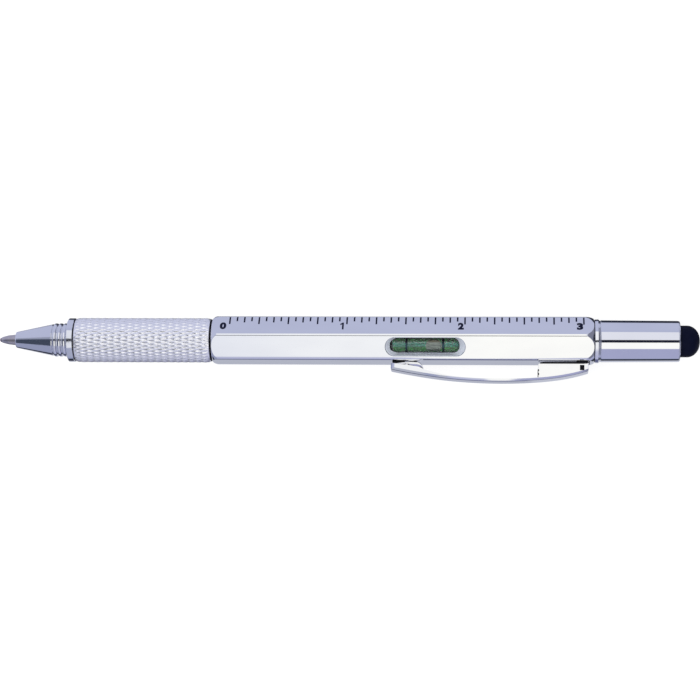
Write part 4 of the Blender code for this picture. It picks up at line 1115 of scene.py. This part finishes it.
def clip_seat(front, rear):
    """A dark strip on the facet under the clip's block: a sheet of painted shade."""
    rings = []
    for along, near in ((front, 0.3), (front + 1.2, 0.95), (rear - 3.0, 1.3), (rear, 1.5)):
        section = ((near, 0.006), (near, 0.045), (-1.6, 0.045), (-1.6, 0.006))
        rings.append([(along, across, APOTHEM + height) for across, height in section])
    return solid("clip_seat", rings)


def make_clip():
    front, rear = CLIP_X
    leg = rear - LEG
    block_rear = leg - HOLE_LENGTH
    block_front = rear - BLOCK_LENGTH
    block_low = APOTHEM + BLOCK_LOW
    points = [(leg - LEG, TOE_LOW, 0), (rear, TOE_LOW, 0.05), (rear, clip_height(rear), 0.45)]
    points += along_clip(clip_height, rear - 0.9, front + 0.9)
    points += [(front, clip_height(front), 0.35), (front, clip_under(front), 0.2)]
    points += along_clip(clip_under, front + 0.5, block_front)
    points += [(block_front, block_low, 0.1), (leg, block_low, 0.02)]
    points += [(leg, TOE_LOW + 0.4, 0), (leg - LEG, TOE_LOW + 0.4, 0)]
    plate = side_plate("clip", rounded(points, closed=True), CLIP_LAYERS, crown=True)
    clip = beveled(plate, 0.07)
    combine(clip, clip_block("hole", block_rear, leg, *HOLE, 5.0))
    combine(clip, clip_foot(front), "UNION")
    combine(clip, clip_plan(front, rear), "INTERSECT")
    publish(turned(clip, CLIP_FACET), "clip", "clip", ["pocket_clip"])

    # Black pieces that stand for shade in and under the clip, as painted shade: a sleeve about the
    # leg under the block, a pad under the foot, a pin that darkens the hole, two marks across the
    # block's front and a strip on the facet under the block
    leg_shade_top = block_low - 0.04
    sleeve = [
        (leg - 1.5, leg_shade_top - 0.4),
        (leg - 1.1, APOTHEM + 0.03),
        (rear - 0.5, APOTHEM + 0.03),
        (rear + 0.12, APOTHEM + 0.2),
        (rear + 0.12, APOTHEM + 0.34),
        (rear - 0.3, leg_shade_top),
        (leg - 1.5, leg_shade_top),
    ]
    foot_shade = [(front + 0.35, APOTHEM + 0.05), (front + 2.9, APOTHEM + 0.05)]
    foot_shade += [(front + place, clip_under(front + place) + 0.1) for place in (2.9, 1.5, 0.45)]
    pin_low, pin_high = HOLE[0] - 0.05, HOLE[1] + 0.05
    notch_shade = (block_front - NOTCH_SHADE_HALF, block_front + NOTCH_SHADE_HALF)
    painted_shade_pieces = (
        (clip_block("clip_pin", block_rear - 0.05, leg + 0.05, pin_low, pin_high, 1.4), "clip"),
        (side_plate("clip_leg_shade", sleeve, (-1.77, 1.77)), "clip"),
        (side_plate("clip_foot_shade", foot_shade, (-1.3, 1.3)), "clip"),
        (clip_block("clip_notch_shade_near", *notch_shade, 1.86, 2.22, 1.79), "clip"),
        (clip_block("clip_notch_shade_far", *notch_shade, 2.66, 3.1, 1.79), "clip"),
        (clip_seat(block_front + 0.4, leg - 0.4), "barrel"),
    )
    for piece, body in painted_shade_pieces:
        publish(turned(beveled(piece, 0.02), CLIP_FACET), body, "black")


# World, floor, lamp and camera

WHITE = (1.0, 1.0, 1.0)
SOFT_LIGHT = (0.92, 0.92, 0.93)
PANEL = (0.95, 0.96, 0.975)
PANEL_LEFT = (0.83, 0.85, 0.915)
PANEL_RIGHT = (1.055, 1.05, 1.01)
PANEL_UPPER = (0.79, 0.80, 0.88)
LILAC = (0.49, 0.52, 0.695)
LILAC_NEAR = (0.44, 0.47, 0.65)
LILAC_LOW = (0.34, 0.37, 0.54)
LILAC_RIDGE = (0.47, 0.49, 0.68)
NOSE_LOW = (0.31, 0.335, 0.49)
PALE = (0.47, 0.49, 0.575)
DARK = (0.030, 0.035, 0.055)
RIDGE_DARK = (0.12, 0.13, 0.24)
GAP_BLACK = (0.012, 0.014, 0.025)
CAP_LOW = (0.385, 0.40, 0.60)
CAP_PALE = (0.55, 0.57, 0.66)
NOSE_DARK = (0.055, 0.068, 0.105)
REAR_GREY = (0.20, 0.21, 0.28)

# The camera's turns in degrees, its place in metres and its lens in millimetres
VIEW_TILT = 16.025
VIEW_YAW = 4.0555
VIEW_ROLL = 0.1534
VIEW_PLACE = (0.02265, 0.13048, 0.466395)
VIEW_LENS = 114.10

# What the plating reflects, by angle about the pen from the photo's line of sight toward +Y
REFLECTED = (
    (-180, (0.50, 0.52, 0.62)), (-150, PALE), (-145, DARK), (-119, DARK), (-114, LILAC_LOW),
    (-40, LILAC_LOW), (50, LILAC_NEAR), (70, LILAC), (133, LILAC), (137, DARK), (180, DARK),
)


def make_world():
    """Bands of colour about the pen, by angle and by direction along it, for the plating."""
    world = bpy.data.worlds.new("studio")
    bpy.context.scene.world = world
    world.use_nodes = True
    world.cycles.sampling_method = "NONE"
    world.node_tree.nodes.clear()
    nodes = Nodes(world.node_tree)
    calc, mix = nodes.math, nodes.mix

    def stepped(value, start, end, low=0.0, high=1.0):
        return nodes.ranged(value, start, end, low, high, "SMOOTHSTEP")

    def times(first, second):
        return calc("MULTIPLY", first, second)

    def between(value, low, high, soft=2.0):
        rise = stepped(value, low - soft, low + soft)
        return times(rise, stepped(value, high + soft, high - soft))

    along, side, up = nodes.split(nodes.add("ShaderNodeTexCoord", {}).outputs["Generated"])
    angle = calc("DEGREES", calc("ARCTAN2", side, up))
    angle = calc("WRAP", calc("SUBTRACT", angle, VIEW_TILT), 180.0, -180.0)
    stops = [(degrees / 360 + 0.5, colour) for degrees, colour in REFLECTED]
    colour = nodes.ramp(calc("MULTIPLY_ADD", angle, 1 / 360, 0.5), stops)

    # The barrel's lower ridge sees a lighter wall and a softer dark line than round pieces do
    on_barrel = between(along, -0.15, 0.04, 0.006)
    colour = mix(times(between(angle, -111, -30), on_barrel), colour, LILAC_RIDGE)
    colour = mix(times(between(angle, -149, -112), on_barrel), colour, RIDGE_DARK)

    # Cap and collar see a thicker dark line above, a lighter wall below and a pale floor under it
    on_cap = stepped(along, 0.037, 0.04)
    colour = mix(times(on_cap, between(angle, -113, -30)), colour, CAP_LOW)
    colour = mix(times(on_cap, stepped(angle, -134, -139)), colour, CAP_PALE)
    colour = mix(times(on_cap, stepped(angle, 124, 129)), colour, DARK)

    # The white panel grows brighter toward the stylus, and reaches lower beside the level
    panel = mix(stepped(along, -0.14, -0.075), PANEL_LEFT, PANEL)
    panel = mix(stepped(along, -0.05, -0.015), panel, PANEL_RIGHT)
    panel = mix(times(stepped(along, 0.040, 0.047), stepped(angle, 0, 8)), panel, PANEL_UPPER)
    low_edge = times(stepped(along, -0.048, -0.03, 0, 30), stepped(along, 0.045, 0.0))
    lowered = calc("ADD", angle, low_edge)
    sharp = stepped(lowered, -45, -41)
    soft = calc("SUBTRACT", stepped(lowered, -64, -33), sharp)
    covered = times(calc("MULTIPLY_ADD", soft, on_barrel, sharp), stepped(angle, 55, 51))
    colour = mix(covered, colour, panel)

    # Toward the writing tip the panels end
    on_nose = stepped(along, -0.18, -0.38)
    nose_wall = mix(stepped(angle, -15, -5), NOSE_LOW, LILAC)
    reach = calc("MAXIMUM", stepped(angle, -123, -118), stepped(along, -0.64, -0.74))
    colour = mix(times(on_nose, reach), colour, nose_wall)

    # The clip's near edge, which slopes toward its free end, sees a pale floor
    front = between(along, -0.36, -0.228, 0.008)
    edge = calc("MAXIMUM", front, between(along, -0.19, -0.155, 0.005))
    colour = mix(times(edge, between(angle, -100, -40)), colour, PALE)

    # The gap between the panels is dark, and it widens toward the writing tip
    middle = calc("MULTIPLY_ADD", on_nose, 21.0, angle)
    half = calc("MULTIPLY_ADD", on_nose, 18.0, stepped(along, -0.12, 0.0, 4.0, 7.0))
    half = calc("ADD", half, stepped(along, -0.188, -0.198, 0.0, 5.0))
    from_gap = calc("SUBTRACT", calc("ABSOLUTE", middle), half)
    before_tip = stepped(along, -0.80, -0.66)
    gap = times(stepped(from_gap, 1.5, -1.0), before_tip)
    shade = times(times(on_nose, stepped(angle, 0, 3, 0, 0.45)), stepped(angle, 26, 20))
    colour = mix(times(shade, before_tip), colour, NOSE_DARK)
    colour = mix(gap, colour, mix(on_nose, GAP_BLACK, NOSE_DARK))

    # Faces that look toward the stylus end see a grey wall, and a dark one farthest out
    near = calc("LESS_THAN", calc("ABSOLUTE", angle), 100.0)
    colour = mix(times(stepped(along, 0.32, 0.42), near), colour, REAR_GREY)
    colour = mix(times(stepped(along, 0.78, 0.83), between(angle, 3, 68)), colour, DARK)

    path = nodes.add("ShaderNodeLightPath", {}).outputs
    seen = mix(path["Is Diffuse Ray"], colour, SOFT_LIGHT)
    seen = mix(path["Is Camera Ray"], seen, WHITE)
    background = nodes.add("ShaderNodeBackground", {"Color": seen}).outputs[0]
    nodes.add("ShaderNodeOutputWorld", {"Surface": background})


def make_floor():
    """A floor that looks white to the camera and keeps the pen's shadow."""
    size = 3.0
    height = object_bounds()[0].z - 0.00002
    corners = [(x * size, y * size, height) for x, y in ((-1, -1), (1, -1), (1, 1), (-1, 1))]
    mesh = bpy.data.meshes.new("floor")
    mesh.from_pydata(corners, [], [(0, 1, 2, 3)])
    floor = link("floor", mesh)
    floor.visible_glossy = False
    floor.visible_transmission = False
    paint = Paint(
        "pale_floor", Base_Color=(0.80, 0.80, 0.81, 1), Roughness=0.9, Specular_IOR_Level=0.0
    )
    pale = paint.add("ShaderNodeBsdfDiffuse", {"Color": (0.22, 0.22, 0.225)}).outputs[0]
    glow = paint.add("ShaderNodeEmission", {"Strength": 0.82}).outputs[0]
    both = paint.add("ShaderNodeAddShader", {0: pale, 1: glow}).outputs[0]
    path = paint.add("ShaderNodeLightPath", {}).outputs["Is Camera Ray"]
    pick = {0: path, 1: paint.shader.outputs[0], 2: both}
    surface = paint.tree.nodes["Material Output"].inputs["Surface"]
    paint.tree.links.new(paint.add("ShaderNodeMixShader", pick).outputs[0], surface)
    mesh.materials.append(paint.material)


def make_lamp(name, place, size, power):
    light = bpy.data.lights.new(name, "AREA")
    light.shape = "SQUARE"
    light.size = size
    light.energy = power
    lamp = link(name, light)
    lamp.location = place
    lamp.rotation_euler = (-Vector(place)).to_track_quat("-Z", "Y").to_euler()
    lamp.visible_glossy = False


def make_camera():
    """Stand the camera where the photo's was, found from the ruler's marks and the edges."""
    data = bpy.data.cameras.new("camera")
    data.sensor_width = 36
    data.lens = VIEW_LENS
    data.clip_start = 0.01
    place = Matrix.Translation(VIEW_PLACE)
    for degrees, axis in ((-VIEW_TILT, "X"), (VIEW_YAW, "Y"), (VIEW_ROLL, "Z")):
        place = place @ Matrix.Rotation(math.radians(degrees), 4, axis)
    camera = link("camera", data)
    camera.matrix_world = place
    bpy.context.scene.camera = camera


make_barrel()
make_inch_ruler()
make_centimetre_ruler()
make_level()
make_cradle()
make_grip()
make_nose()
make_refill_tip()
make_cap_end()
make_stylus()
make_clip()
dress_nodes()
make_world()
make_floor()
make_lamp("key", (-0.25, 0.35, 0.8), 0.6, 4.0)
make_camera()
bpy.context.scene.view_settings.view_transform = "Standard"
